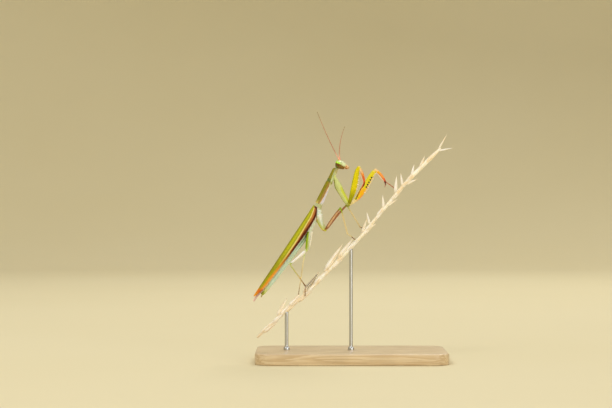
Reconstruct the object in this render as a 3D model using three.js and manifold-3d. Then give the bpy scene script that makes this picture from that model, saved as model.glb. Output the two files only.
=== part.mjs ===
// A male European mantis (Mantis religiosa) climbing a dry grass spike, life size, on a plain display stand.
// Millimetres, +Z up. The insect faces +X and its right side faces -Y. The origin is the middle of the
// underside of the base. Every piece is a closed solid of its own, parted from its neighbours by a thin cut.
import * as THREE from "three";
import { mergeVertices } from "three/addons/utils/BufferGeometryUtils.js";
import Module from "manifold-3d";

// ---- Driving dimensions ------------------------------------------------------------------------------

const CUT = 0.08; // the gap between touching pieces
const THIN = 0.5; // the least thickness of wings, feelers and feet

const BASE_LENGTH = 68;
const BASE_WIDTH = 40;
const BASE_HEIGHT = 4;
const BASE_CORNER = 6;
const BASE_BEVEL = 0.6;
const ROD_RADIUS = 0.65;
const ROD_BITE = 0.2; // how far a rod would run on into the stem that rests on it
const COLLAR_RADIUS = 1.1; // the collar where a rod enters the base
const COLLAR_HEIGHT = 0.9;
const COLLAR_SLOPE = 0.4;
const ROD_LOW_X = -23;
const ROD_HIGH_X = 0;

const STEM_RADII = [[0, 0.4], [0.1, 0.52], [0.35, 0.64], [0.6, 0.52], [0.8, 0.6], [0.94, 0.72], [1, 0.35]];
const STEM_POINTS = [
  [-33.6, 8.3],
  [-25.2, 16.1],
  [-16.9, 23.4],
  [-6.2, 34.2],
  [1.4, 42],
  [10, 52.2],
  [20, 64],
  [32.1, 76.1],
];

const WING_ROOT = [-13.39, 0, 55.78]; // the front end of the back line of the folded wings
const TRUNK_PITCH = 56.5;
const WING_LENGTH = 39;
const HINDWING_START = 1.5;
const HINDWING_END = 40.6;
const HINDWING_DROOP = 0.1;
const OVERLAP_ANGLE = 25; // how far the right forewing laps over the back line, round the arch of the wings
const OVERLAP_GAP = 2.5; // the angle between its edge and the left forewing's
const THORAX_FRONT = 1.7;
const THORAX_REAR = -10.6;
const ABDOMEN_REAR = -37;
const CERCUS_LENGTH = 2.6;
const CERCUS_RADIUS = 0.3;

const PRONOTUM_REAR = [-12.93, 0, 56.28];
const PRONOTUM_PITCH = 63;
const PRONOTUM_LENGTH = 14.7;

const NECK_REAR = [-6.6, 0, 66.9];
const NECK_FRONT = [-3.9, 0, 70];
const NECK_HALF_WIDTH = 0.72;
const NECK_HALF_DEPTH = 0.66;

const HEAD_CENTRE = [-3.17, 0, 69.91];
const HEAD_PITCH = 70; // how far the face looks up
const VERTEX_Z = 2.5;
const CHIN_Z = -1.45;
const CHIN_SET_BACK = 0.35;
const MOUTH_Z = -2.75;
const EYE_RADII = [1.1, 1.0, 1.2];
const EYE_PLACE = [-0.04, 1.98, 1.28];
const EYE_TILT = 16;

const ANTENNAE = {
  right: { root: [-4.12, -0.42, 71.41], middle: [-8, -1.3, 78.4], tip: [-12.1, -3.6, 88.8] },
  left: { root: [-3.87, 0.42, 71.31], middle: [-4.7, 1.5, 77.5], tip: [-2.1, 5, 84] },
};

// Each leg hangs from its root. Each length of it has [length, pitch, splay], the angles in degrees: pitch
// turns up from +X and splay turns out from the middle of the body.
const LEGS = {
  fore_right: {
    root: [-5.75, -0.9, 65.7],
    coxa: [11.46, -64.4, 14],
    femur: [14.1, 74.5, 13],
    tibia: [5.5, -70, -14],
    tarsus: [7, -115.5, -6],
  },
  fore_left: {
    root: [-5.9, 0.9, 65.2],
    coxa: [10.92, -59.1, 11.1],
    femur: [15.52, 52, 6.1],
    tibia: [5, -50.5, -12],
    tarsus: [6, -38.5, -26],
  },
  mid_right: {
    root: [-11.6, -1.4, 52.4],
    coxa: [6.2, -67.5, 8],
    femur: [12, 55.4, 37.3],
    tibia: [10.2, -74.9, -24.2],
    tarsus: [5.2, -38.5, -48],
  },
  mid_left: {
    root: [-11.5, 1.4, 52.5],
    coxa: [6.2, -64.5, 7],
    femur: [11.9, 49, 16],
    tibia: [9.6, -58.8, -19.2],
    tarsus: [3.2, -22, -28],
  },
  hind_right: {
    root: [-15.1, -1.4, 46.2],
    coxa: [6.7, -96.5, 9],
    femur: [12.4, -141.4, 53],
    tibia: [13.7, -56.3, -46.2],
    tarsus: [4, -89, -24],
  },
  hind_left: {
    root: [-14.2, 1.4, 46.4],
    coxa: [6.2, -98.5, 9],
    femur: [12.3, -126, 79],
    tibia: [13.8, -99, -50],
    tarsus: [7.4, -98.5, -23],
  },
};
const CLAW_REACH = 1.9; // how far the hook of a fore tibia runs on past the foot joint
const CLAW_DROP = 1.6; // and how far it bends back towards the femur
const FEMUR_SPINES = 6;
const TIBIA_SPINES = 5;

// The spikelets that stand off the spike: the share along the stem, the side (1 up, -1 down), the angle off
// the stem in degrees, the length, the greatest half width, and how far its root lies from the stem's middle.
const SPIKELETS = [
  [0.11, 1, 22, 7.6, 1.05, 0.4],
  [0.17, 1, 9, 6, 1, 0.5],
  [0.245, 1, 9, 9.4, 1.1, 0.8],
  [0.36, 1, 11, 11.6, 1.2, 0.8],
  [0.43, 1, 9, 9.5, 1, 0.6],
  [0.56, 1, 22, 5.6, 0.65, 0.4],
  [0.605, 1, 54, 4.6, 0.62, 0.3],
  [0.58, -1, 14, 4.2, 0.6, 0.2],
  [0.686, 1, 44, 4.7, 0.66, 0.3],
  [0.7, -1, 17, 4.6, 0.6, 0.2],
  [0.758, 1, 37, 6.3, 0.85, 0.4],
  [0.797, 1, 50, 4.4, 0.62, 0.3],
  [0.808, -1, 24, 4.6, 0.62, 0.2],
  [0.848, 1, 32, 4.2, 0.62, 0.3],
  [0.893, 1, 23, 4.4, 0.62, 0.3],
  [0.985, 1, 16, 6.9, 0.45, 0.1],
  [0.985, -1, 33, 5.4, 0.4, 0.1],
];
const PRESSED_GLUMES = 10; // the glumes that lie along the stem, at shares of its length from first to last
const FIRST_GLUME = 0.03;
const LAST_GLUME = 0.91;
const GLUME_LENGTH = 6.4;
const GLUME_HALF_WIDTH = 0.85;
const GLUME_LIFT = 6;

const GREEN = 0x93a614;
const LIME = 0xb6d24a;
const OLIVE = 0x8a8a0a;
const PALE_GREEN = 0xb4cc98;
const YELLOW = 0xd8c408;
const ORANGE = 0xf07a24;
const MAROON = 0x6a1c0c;
const BROWN = 0x9a5a3a;
const TAN = 0xc8a468;
const SALMON = 0xd8806a;
const STRAW = 0xecd8ae;
const MAPLE = 0xd8c4a0;
const STEEL = 0xb8bcc0;

// ---- Tools for making solids -------------------------------------------------------------------------

const wasm = await Module();
wasm.setup();

const radians = THREE.MathUtils.degToRad;
const point = (x, y, z) => new THREE.Vector3(x, y, z);
const LEVEL = point(0, 1, 0);

// A smooth curve through [share, value] pairs, read at any share between the first and the last.
function through(...keys) {
  const slope = (i) => {
    const before = keys[Math.max(i - 1, 0)];
    const after = keys[Math.min(i + 1, keys.length - 1)];
    return (after[1] - before[1]) / (after[0] - before[0]);
  };
  return (share) => {
    let i = 0;
    while (i < keys.length - 2 && share > keys[i + 1][0]) i += 1;
    const [from, low] = keys[i];
    const [to, high] = keys[i + 1];
    const span = to - from;
    const s = THREE.MathUtils.clamp((share - from) / span, 0, 1);
    const rise = s * s * (3 - 2 * s);
    const leave = s * (1 - s) * (1 - s) * slope(i) * span;
    const arrive = s * s * (s - 1) * slope(i + 1) * span;
    return low + (high - low) * rise + leave + arrive;
  };
}

// Makes a geometry whose faces point out, whichever way round they were listed.
function facingOut(points, faces) {
  let volume = 0;
  for (let i = 0; i < faces.length; i += 3) {
    const [a, b, c] = [points[faces[i]], points[faces[i + 1]], points[faces[i + 2]]];
    volume += a.dot(b.clone().cross(c));
  }
  const turned = volume < 0 ? faces.slice().reverse() : faces;
  const geometry = new THREE.BufferGeometry().setFromPoints(points);
  geometry.setIndex(turned);
  return geometry;
}

// Elliptical rings strung along a path and closed at both ends. path gives a centre and girth gives
// [half width, half depth], both at a share from 0 to 1; ends rounds that share of the length at each end.
function sweep({ path, girth, rows, sides, ends = 0, level = LEVEL, pad = 0 }) {
  const points = [];
  for (let row = 0; row <= rows; row += 1) {
    const share = 0.5 - 0.5 * Math.cos((Math.PI * row) / rows);
    const step = 0.01;
    const ahead = path(Math.min(share + step, 1)).sub(path(Math.max(share - step, 0))).normalize();
    const across = level.clone().addScaledVector(ahead, -level.dot(ahead)).normalize();
    const up = ahead.clone().cross(across);
    const nearest = ends ? Math.min(share, 1 - share, ends) / ends : 1;
    const dome = Math.sqrt(Math.max(1 - (1 - nearest) ** 2, 0.08));
    const [halfWidth, halfDepth] = girth(share).map((size) => size * dome + pad);
    const past = row === 0 ? -pad : row === rows ? pad : 0;
    const centre = path(share).addScaledVector(ahead, past);
    for (let side = 0; side < sides; side += 1) {
      const angle = (2 * Math.PI * (side + 0.5)) / sides;
      const rim = centre.clone().addScaledVector(across, halfWidth * Math.cos(angle));
      points.push(rim.addScaledVector(up, halfDepth * Math.sin(angle)));
    }
  }
  const faces = [];
  for (let row = 0; row < rows; row += 1) {
    for (let side = 0; side < sides; side += 1) {
      const a = row * sides + side;
      const b = row * sides + ((side + 1) % sides);
      faces.push(a, b, b + sides, a, b + sides, a + sides);
    }
  }
  const last = rows * sides;
  for (let side = 1; side + 1 < sides; side += 1) {
    faces.push(0, side + 1, side, last, last + side, last + side + 1);
  }
  return facingOut(points, faces);
}

// A bent plate between two grids of points, its rim closed. top and bottom give a point at (u, v).
function plate({ rows, columns, top, bottom }) {
  const points = [];
  for (const face of [top, bottom]) {
    for (let row = 0; row <= rows; row += 1) {
      for (let column = 0; column <= columns; column += 1) points.push(face(row / rows, column / columns));
    }
  }
  const width = columns + 1;
  const under = width * (rows + 1);
  const faces = [];
  for (let row = 0; row < rows; row += 1) {
    for (let column = 0; column < columns; column += 1) {
      const a = row * width + column;
      faces.push(a, a + 1, a + 1 + width, a, a + 1 + width, a + width);
      const b = a + under;
      faces.push(b, b + 1 + width, b + 1, b, b + width, b + 1 + width);
    }
  }
  const rim = (a, b) => faces.push(b, b + under, a + under, b, a + under, a);
  for (let row = 0; row < rows; row += 1) {
    rim(row * width, (row + 1) * width);
    rim((row + 1) * width + columns, row * width + columns);
  }
  for (let column = 0; column < columns; column += 1) {
    rim(column + 1, column);
    rim(rows * width + column, rows * width + column + 1);
  }
  return facingOut(points, faces);
}

function toSolid(geometry) {
  const bare = new THREE.BufferGeometry().setAttribute("position", geometry.getAttribute("position"));
  bare.setIndex(geometry.getIndex());
  const merged = mergeVertices(bare, 1e-4);
  return new wasm.Manifold(
    new wasm.Mesh({
      numProp: 3,
      vertProperties: merged.attributes.position.array,
      triVerts: new Uint32Array(merged.index.array),
    }),
  );
}

function toGeometry(solid) {
  const mesh = solid.getMesh();
  const geometry = new THREE.BufferGeometry();
  geometry.setAttribute("position", new THREE.BufferAttribute(mesh.vertProperties, 3));
  geometry.setIndex(new THREE.BufferAttribute(mesh.triVerts, 1));
  return geometry;
}

function joined(geometries) {
  return toGeometry(geometries.map(toSolid).reduce((whole, piece) => whole.add(piece)));
}

function largestBody(solid) {
  return solid.decompose().reduce((best, body) => (body.volume() > best.volume() ? body : best));
}

// ---- The scene graph ---------------------------------------------------------------------------------

const model = new THREE.Group();
const pieces = [];

// Adds a named piece to a group. shape makes its geometry, grown by a margin on every side.
function add(group, name, colour, shape, { roughness = 0.5, metalness = 0 } = {}) {
  const material = new THREE.MeshStandardMaterial({ color: colour, roughness, metalness });
  const mesh = new THREE.Mesh(shape(0), material);
  mesh.name = name;
  group.add(mesh);
  pieces.push({ mesh, grown: () => shape(CUT) });
}

function group(parent, position, pitch = 0) {
  const made = new THREE.Group();
  made.position.set(...position);
  made.rotation.y = -radians(pitch);
  parent.add(made);
  return made;
}

// ---- Perch and stand ---------------------------------------------------------------------------------

const stemCurve = new THREE.CatmullRomCurve3(STEM_POINTS.map(([x, z]) => point(x, 0, z)));

const stemRadius = through(...STEM_RADII);

function spikelet([share, side, lift, length, halfWidth, offset], pad) {
  const root = stemCurve.getPointAt(share);
  const along = stemCurve.getTangentAt(share);
  const off = point(-along.z, 0, along.x).multiplyScalar(side);
  const out = along.clone().applyAxisAngle(LEVEL, -side * radians(lift));
  const start = root.addScaledVector(off, offset);
  const girth = through([0, 0.3], [0.25, halfWidth], [0.5, halfWidth * 0.75], [1, 0.08]);
  return sweep({
    path: (t) => start.clone().addScaledVector(out, length * t),
    girth: (t) => [girth(t), girth(t) * 0.75],
    rows: 3,
    sides: 4,
    pad,
  });
}

function perchStem(pad) {
  const stalk = sweep({
    path: (t) => stemCurve.getPointAt(t),
    girth: (t) => [stemRadius(t), stemRadius(t)],
    rows: 20,
    sides: 6,
    pad,
  });
  const glumes = [];
  for (let i = 0; i < PRESSED_GLUMES; i += 1) {
    const share = FIRST_GLUME + ((LAST_GLUME - FIRST_GLUME) * i) / PRESSED_GLUMES;
    const size = 1.1 - 0.4 * share;
    const side = i % 2 ? 1 : -1;
    glumes.push([share, side, GLUME_LIFT, GLUME_LENGTH * size, GLUME_HALF_WIDTH * size, 0.2]);
  }
  const grown = [...SPIKELETS, ...glumes].map((spec) => spikelet(spec, pad));
  return joined([stalk, ...grown]);
}

function standBase() {
  const inset = BASE_BEVEL;
  const [x, y] = [BASE_LENGTH / 2 - inset, BASE_WIDTH / 2 - inset];
  const r = BASE_CORNER - inset;
  const outline = new THREE.Shape();
  outline.absarc(x - r, y - r, r, 0, Math.PI / 2);
  outline.absarc(-x + r, y - r, r, Math.PI / 2, Math.PI);
  outline.absarc(-x + r, -y + r, r, Math.PI, 1.5 * Math.PI);
  outline.absarc(x - r, -y + r, r, 1.5 * Math.PI, 2 * Math.PI);
  outline.closePath();
  const block = new THREE.ExtrudeGeometry(outline, {
    depth: BASE_HEIGHT - 2 * BASE_BEVEL,
    bevelThickness: BASE_BEVEL,
    bevelSize: BASE_BEVEL,
    bevelSegments: 1,
    curveSegments: 4,
  });
  return block.translate(0, 0, BASE_BEVEL);
}

function stemHeightAt(x) {
  let share = 0;
  while (stemCurve.getPointAt(share).x < x) share += 0.001;
  return stemCurve.getPointAt(share).z;
}

// A rod rises from a collar on the base to the underside of the stem, which is cut into its top.
function standRod(x) {
  const top = stemHeightAt(x) + ROD_BITE;
  const low = BASE_HEIGHT + CUT;
  const profile = [
    [0, low],
    [COLLAR_RADIUS, low],
    [COLLAR_RADIUS, low + COLLAR_HEIGHT],
    [ROD_RADIUS, low + COLLAR_HEIGHT + COLLAR_SLOPE],
    [ROD_RADIUS, top],
    [0, top],
  ].map(([radius, height]) => new THREE.Vector2(radius, height));
  return new THREE.LatheGeometry(profile, 8).rotateX(Math.PI / 2).translate(x, 0, 0);
}

const stand = group(model, [0, 0, 0]);
add(stand, "stand_base", MAPLE, standBase);
add(model, "perch_stem", STRAW, perchStem, { roughness: 0.8 });
const steel = { roughness: 0.35, metalness: 1 };
add(stand, "stand_rod_low", STEEL, () => standRod(ROD_LOW_X), steel);
add(stand, "stand_rod_high", STEEL, () => standRod(ROD_HIGH_X), steel);

// ---- Head --------------------------------------------------------------------------------------------

const SIDES = { right: -1, left: 1 };
const head = group(model, HEAD_CENTRE, HEAD_PITCH);

for (const [name, side] of Object.entries(SIDES)) {
  add(head, `eye_${name}`, LIME, (pad) => {
    const [x, y, z] = EYE_PLACE;
    const eye = new THREE.SphereGeometry(1, 12, 8).scale(...EYE_RADII.map((radius) => radius + pad));
    return eye.rotateX(-side * radians(EYE_TILT)).translate(x, side * y, z);
  }, { roughness: 0.25 });
}

const capsuleHalfWidth = through([0, 1.5], [0.15, 2.0], [0.4, 2.25], [0.65, 1.7], [0.85, 1.15], [1, 0.95]);
const capsuleHalfDepth = through([0, 0.75], [0.15, 1.3], [0.4, 1.6], [0.65, 1.45], [0.85, 1.1], [1, 0.9]);
add(head, "head_capsule", LIME, (pad) => sweep({
  path: (t) => point(-CHIN_SET_BACK * t, 0, VERTEX_Z + (CHIN_Z - VERTEX_Z) * t),
  girth: (t) => [capsuleHalfWidth(t), capsuleHalfDepth(t)],
  rows: 8,
  sides: 12,
  ends: 0.12,
  pad,
}));

const mouthHalfWidth = through([0, 0.9], [0.4, 0.85], [0.8, 0.6], [1, 0.4]);
add(head, "mouthparts", TAN, (pad) => sweep({
  path: (t) => point(-0.1 - 0.1 * t, 0, CHIN_Z + 0.3 + (MOUTH_Z - CHIN_Z - 0.3) * t),
  girth: (t) => [mouthHalfWidth(t), mouthHalfWidth(t) * 0.8],
  rows: 5,
  sides: 8,
  ends: 0.25,
  pad,
}));

for (const [name, { root, middle, tip }] of Object.entries(ANTENNAE)) {
  const bend = new THREE.QuadraticBezierCurve3(point(...root), point(...middle), point(...tip));
  add(model, `antenna_${name}`, SALMON, (pad) => sweep({
    path: (t) => bend.getPoint(t),
    girth: () => [THIN / 2, THIN / 2],
    rows: 8,
    sides: 6,
    pad,
  }));
}

// ---- Pronotum and neck -------------------------------------------------------------------------------

const pronotumGroup = group(model, PRONOTUM_REAR, PRONOTUM_PITCH);
const shieldHalfWidth = through([0, 1.25], [0.25, 1.1], [0.45, 1.2], [0.64, 1.65], [0.8, 1.35], [1, 0.9]);
const shieldHalfDepth = through([0, 1.1], [0.3, 1.2], [0.62, 1.15], [0.88, 1.08], [1, 0.85]);
add(pronotumGroup, "pronotum", OLIVE, (pad) => sweep({
  path: (t) => point(PRONOTUM_LENGTH * t, 0, -shieldHalfDepth(t)),
  girth: (t) => [shieldHalfWidth(t), shieldHalfDepth(t)],
  rows: 11,
  sides: 12,
  ends: 0.05,
  pad,
}));

add(model, "neck", PALE_GREEN, (pad) => sweep({
  path: (t) => point(...NECK_REAR).lerp(point(...NECK_FRONT), t),
  girth: () => [NECK_HALF_WIDTH, NECK_HALF_DEPTH],
  rows: 4,
  sides: 8,
  pad,
}));

// ---- Wings -------------------------------------------------------------------------------------------

const trunk = group(model, WING_ROOT, TRUNK_PITCH);
const wingHalfWidth = through([0, 1.3], [0.06, 2.1], [0.25, 2.75], [0.5, 2.55], [0.78, 1.95], [0.93, 1.3], [1, 0.75]);
const wingDepth = through(
  [0, 1.6],
  [0.07, 2.95],
  [0.15, 3.35],
  [0.28, 3.4],
  [0.44, 3.05],
  [0.6, 2.7],
  [0.75, 2.35],
  [0.87, 1.95],
  [0.94, 1.35],
  [1, 0.75],
);

// A point on the arch of the folded wings: a quarter ellipse from the back line down to the front margin,
// or the same arch drawn in by the thickness of the wing.
function archPoint(side, along, angle, thickness) {
  const u = along / WING_LENGTH;
  const [halfWidth, depth] = [wingHalfWidth(u), wingDepth(u)];
  const y = side * (halfWidth - thickness) * Math.sin(angle);
  return point(-along, y, -depth * (1 - Math.cos(angle)) - thickness * Math.cos(angle));
}

for (const [name, side] of Object.entries(SIDES)) {
  const start = radians(side < 0 ? -OVERLAP_ANGLE : OVERLAP_ANGLE + OVERLAP_GAP);
  const shape = (pad) => {
    const face = (thickness) => (u, v) => {
      const angle = THREE.MathUtils.lerp(start - pad / 2, Math.PI / 2 + pad / 2, v);
      return archPoint(side, WING_LENGTH * u, angle, thickness);
    };
    return plate({ rows: 11, columns: 5, top: face(-pad), bottom: face(THIN + pad) });
  };
  add(trunk, `forewing_${name}`, GREEN, shape, { roughness: 0.4 });
}

for (const [name, side] of Object.entries(SIDES)) {
  const reach = through([0, 0.9], [0.1, 1.5], [0.5, 1.5], [0.85, 1.1], [1, 0.55]);
  const droop = through([0, 0], [0.9, 0], [1, HINDWING_DROOP]);
  const shape = (pad) => {
    const face = (drop) => (u, v) => {
      const along = THREE.MathUtils.lerp(HINDWING_START, HINDWING_END, u);
      const out = CUT / 2 + reach(u) * v;
      const roof = Math.min(along / WING_LENGTH, 1);
      const angle = Math.asin(Math.min(out / (wingHalfWidth(roof) - THIN), 0.95));
      const z = -wingDepth(roof) * (1 - Math.cos(angle)) - THIN - 2 * CUT - droop(u) - drop;
      return point(-along, side * out, z);
    };
    return plate({ rows: 10, columns: 2, top: face(-pad / 2), bottom: face(THIN + pad) });
  };
  add(trunk, `hindwing_${name}`, SALMON, shape);
}

// ---- Thorax, abdomen and cerci -----------------------------------------------------------------------

const thoraxBelly = through([0, -2.7], [0.15, -3.3], [0.28, -4], [0.6, -4.5], [1, -4.75]);
const thoraxBack = through([0, -0.35], [0.15, -0.3], [0.28, -0.8], [0.6, -1.2], [1, -1.4]);
const thoraxHalfWidth = through([0, 1.15], [0.15, 1.65], [0.35, 2.05], [0.75, 2], [1, 1.8]);
add(trunk, "thorax", PALE_GREEN, (pad) => sweep({
  path: (t) => {
    const x = THREE.MathUtils.lerp(THORAX_FRONT, THORAX_REAR, t);
    return point(x, 0, (thoraxBelly(t) + thoraxBack(t)) / 2);
  },
  girth: (t) => [thoraxHalfWidth(t), (thoraxBack(t) - thoraxBelly(t)) / 2],
  rows: 7,
  sides: 10,
  ends: 0.06,
  pad,
}));

const abdomenBelly = through([0, -4.7], [0.06, -4.9], [0.25, -4.65], [0.5, -4.3], [0.78, -3.7], [1, -3.1]);
const abdomenBack = through([0, -1.5], [0.5, -1.35], [0.78, -1.25], [1, -1.5]);
const abdomenHalfWidth = through([0, 1.75], [0.2, 1.95], [0.5, 1.85], [0.8, 1.5], [1, 0.75]);
add(trunk, "abdomen", PALE_GREEN, (pad) => sweep({
  path: (t) => {
    const x = THREE.MathUtils.lerp(THORAX_REAR + 0.6, ABDOMEN_REAR, t);
    return point(x, 0, (abdomenBelly(t) + abdomenBack(t)) / 2);
  },
  girth: (t) => [abdomenHalfWidth(t), (abdomenBack(t) - abdomenBelly(t)) / 2],
  rows: 12,
  sides: 10,
  ends: 0.05,
  pad,
}));

for (const [name, side] of Object.entries(SIDES)) {
  const root = point(ABDOMEN_REAR + 1.6, side * 0.75, -2.3);
  const out = point(-1, side * 0.3, -0.12).normalize();
  add(trunk, `cercus_${name}`, GREEN, (pad) => sweep({
    path: (t) => root.clone().addScaledVector(out, CERCUS_LENGTH * t),
    girth: (t) => [CERCUS_RADIUS - 0.05 * t, CERCUS_RADIUS - 0.05 * t],
    rows: 3,
    sides: 6,
    pad,
  }));
}

// ---- Legs --------------------------------------------------------------------------------------------

function aim(pitch, splay, side) {
  const [p, s] = [radians(pitch), radians(splay)];
  return point(Math.cos(s) * Math.cos(p), side * Math.sin(s), Math.cos(s) * Math.sin(p));
}

// The turn that brings +X to ahead and +Z as near to back as it can.
function facing(ahead, back) {
  const up = back.clone().addScaledVector(ahead, -back.dot(ahead)).normalize();
  const basis = new THREE.Matrix4().makeBasis(ahead, up.clone().cross(ahead), up);
  return new THREE.Quaternion().setFromRotationMatrix(basis);
}

// The half depth of each length of a leg from its root to its end, and its width as a share of its depth.
const GIRTHS = {
  fore: {
    coxa: [0.7, through([0, 0.5], [0.1, 0.62], [0.28, 1.1], [0.55, 1], [0.8, 0.92], [1, 0.68])],
    femur: [0.62, through([0, 0.5], [0.12, 0.6], [0.25, 0.82], [0.42, 1.1], [0.75, 1.02], [0.93, 0.8], [1, 0.7])],
    tibia: [0.8, through([0, 0.5], [0.3, 0.48], [0.62, 0.4], [0.8, 0.26], [1, 0.1])],
    tarsus: [1, through([0, 0.26], [1, 0.25])],
  },
  mid: {
    coxa: [0.7, through([0, 1.35], [0.3, 1.25], [0.6, 0.85], [0.85, 0.62], [1, 0.5])],
    femur: [0.85, through([0, 0.36], [0.12, 0.46], [0.55, 0.4], [0.9, 0.34], [1, 0.4])],
    tibia: [1, through([0, 0.3], [0.5, 0.26], [1, 0.27])],
    tarsus: [1, through([0, 0.26], [1, 0.25])],
  },
  hind: {
    coxa: [0.75, through([0, 0.82], [0.45, 0.72], [0.85, 0.56], [1, 0.46])],
    femur: [0.85, through([0, 0.42], [0.12, 0.58], [0.55, 0.42], [0.9, 0.32], [1, 0.4])],
    tibia: [1, through([0, 0.3], [0.5, 0.26], [1, 0.27])],
    tarsus: [1, through([0, 0.26], [1, 0.25])],
  },
};
// How far the middle line of a length bows off a straight one, towards its back.
const BOWS = {
  fore: {
    coxa: through([0, 0], [0.3, 0.35], [0.6, 0.4], [1, 0]),
    femur: through([0, 0], [0.4, -0.22], [0.65, 0], [0.9, 0.28], [1, 0.15]),
  },
  fore_left: { femur: through([0, 0], [0.08, -0.5], [0.22, -0.85], [0.43, -0.76], [0.66, -0.33], [0.9, 0.19], [1, 0.15]) },
  mid: { coxa: through([0, 0], [0.5, 0.75], [0.85, 0.55], [1, 0.1]), femur: through([0, 0], [0.5, 0.25], [1, 0.15]) },
};
const COLOURS = {
  fore: { coxa: PALE_GREEN, femur: YELLOW, tibia: ORANGE, tarsus: MAROON },
  mid: { coxa: PALE_GREEN, femur: BROWN, tibia: TAN, tarsus: BROWN },
  hind: { coxa: GREEN, femur: PALE_GREEN, tibia: TAN, tarsus: BROWN },
};

// A row of thorns along the lower edge of a limb, leaning towards its end. from and to are shares of length.
function thorns({ count, length, from, to, size, lean, halfDepth, bow, pad }) {
  const made = [];
  for (let i = 0; i < count; i += 1) {
    const share = THREE.MathUtils.lerp(from, to, i / (count - 1));
    const tall = i % 2 ? size : size * 0.7;
    const across = (i % 2 ? 1 : -1) * halfDepth(share) * 0.3;
    const root = point(length * share, across, bow(share) - halfDepth(share) * 0.75);
    const out = point(lean, 0, -1).normalize();
    made.push(sweep({
      path: (t) => root.clone().addScaledVector(out, tall * t),
      girth: (t) => [0.2 - 0.14 * t, 0.2 - 0.14 * t],
      rows: 1,
      sides: 4,
      pad,
    }));
  }
  return made;
}

// The fore tibia runs straight to the foot joint and on into a hook that bends back under it.
function hookPath(length) {
  const bends = [[0, 0], [length / 2, 0.35], [length, 0]];
  bends.push([length + CLAW_REACH * 0.6, -CLAW_DROP * 0.38], [length + CLAW_REACH, -CLAW_DROP]);
  const curve = new THREE.CatmullRomCurve3(bends.map(([x, z]) => point(x, 0, z)));
  return (t) => curve.getPointAt(t);
}

function limbShape(name, part, length) {
  const kind = name.split("_")[0];
  const [flat, halfDepth] = GIRTHS[kind][part];
  const bow = BOWS[name]?.[part] ?? BOWS[kind]?.[part] ?? (() => 0);
  const hooked = kind === "fore" && part === "tibia";
  const rows = { coxa: 6, femur: 8, tibia: hooked ? 8 : 5, tarsus: 4 }[part];
  return (pad) => {
    const limb = sweep({
      path: hooked ? hookPath(length) : (t) => point(length * t, 0, bow(t)),
      girth: (t) => [halfDepth(t) * flat, halfDepth(t)],
      rows,
      sides: part === "tarsus" || part === "tibia" ? 6 : 8,
      ends: part === "tarsus" || hooked ? 0 : 0.06,
      pad,
    });
    if (kind !== "fore") return limb;
    const row = { length, halfDepth, bow, pad };
    if (part === "femur") {
      return joined([
        limb,
        ...thorns({ ...row, count: FEMUR_SPINES, from: 0.3, to: 0.84, size: 0.85, lean: 0.35 }),
      ]);
    }
    if (part === "tibia") {
      const reach = (share) => halfDepth(share * 0.7);
      const edge = { ...row, halfDepth: reach, count: TIBIA_SPINES, from: 0.3, to: 0.92, size: 0.6, lean: 0.6 };
      return joined([limb, ...thorns(edge)]);
    }
    return limb;
  };
}

for (const [name, leg] of Object.entries(LEGS)) {
  const [kind, sideName] = name.split("_");
  const side = SIDES[sideName];
  const parts = ["coxa", "femur", "tibia", "tarsus"];
  const ways = parts.map((part) => aim(leg[part][1], leg[part][2], side));
  const backs = [ways[1].clone().negate(), ways[2].clone().negate(), ways[1], ways[2]];
  let parent = group(model, leg.root);
  let turned = new THREE.Quaternion();
  parts.forEach((part, i) => {
    const joint = new THREE.Group();
    const want = facing(ways[i], backs[i]);
    joint.quaternion.copy(turned.clone().invert().multiply(want));
    joint.position.x = i ? leg[parts[i - 1]][0] : 0;
    parent.add(joint);
    add(joint, `leg_${name}_${part}`, COLOURS[kind][part], limbShape(name, part, leg[part][0]));
    parent = joint;
    turned = want;
  });
}

// ---- Parting -----------------------------------------------------------------------------------------

// Each piece gives way to the pieces made before it, so that neighbours meet along a thin cut.
model.updateMatrixWorld(true);
for (const piece of pieces) {
  piece.tool = piece.grown().applyMatrix4(piece.mesh.matrixWorld);
  piece.tool.computeBoundingBox();
}
pieces.forEach(({ mesh, tool }, i) => {
  const earlier = pieces.slice(0, i).filter((other) => other.tool.boundingBox.intersectsBox(tool.boundingBox));
  if (!earlier.length) return;
  let solid = toSolid(mesh.geometry);
  const toLocal = mesh.matrixWorld.clone().invert();
  for (const other of earlier) solid = solid.subtract(toSolid(other.tool.clone().applyMatrix4(toLocal)));
  mesh.geometry = toGeometry(largestBody(solid));
});

export default model;
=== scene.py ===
"""A male European mantis climbing a dry grass spike, finished as a life-size display model.

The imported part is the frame. Every shape here is worked out in millimetres in that frame, with +Z up and
the mantis facing +X, and becomes metres when its mesh is made. Each point carries named marks, such as how
far along a leg it lies, and the paints read those marks.
"""
import math

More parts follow.
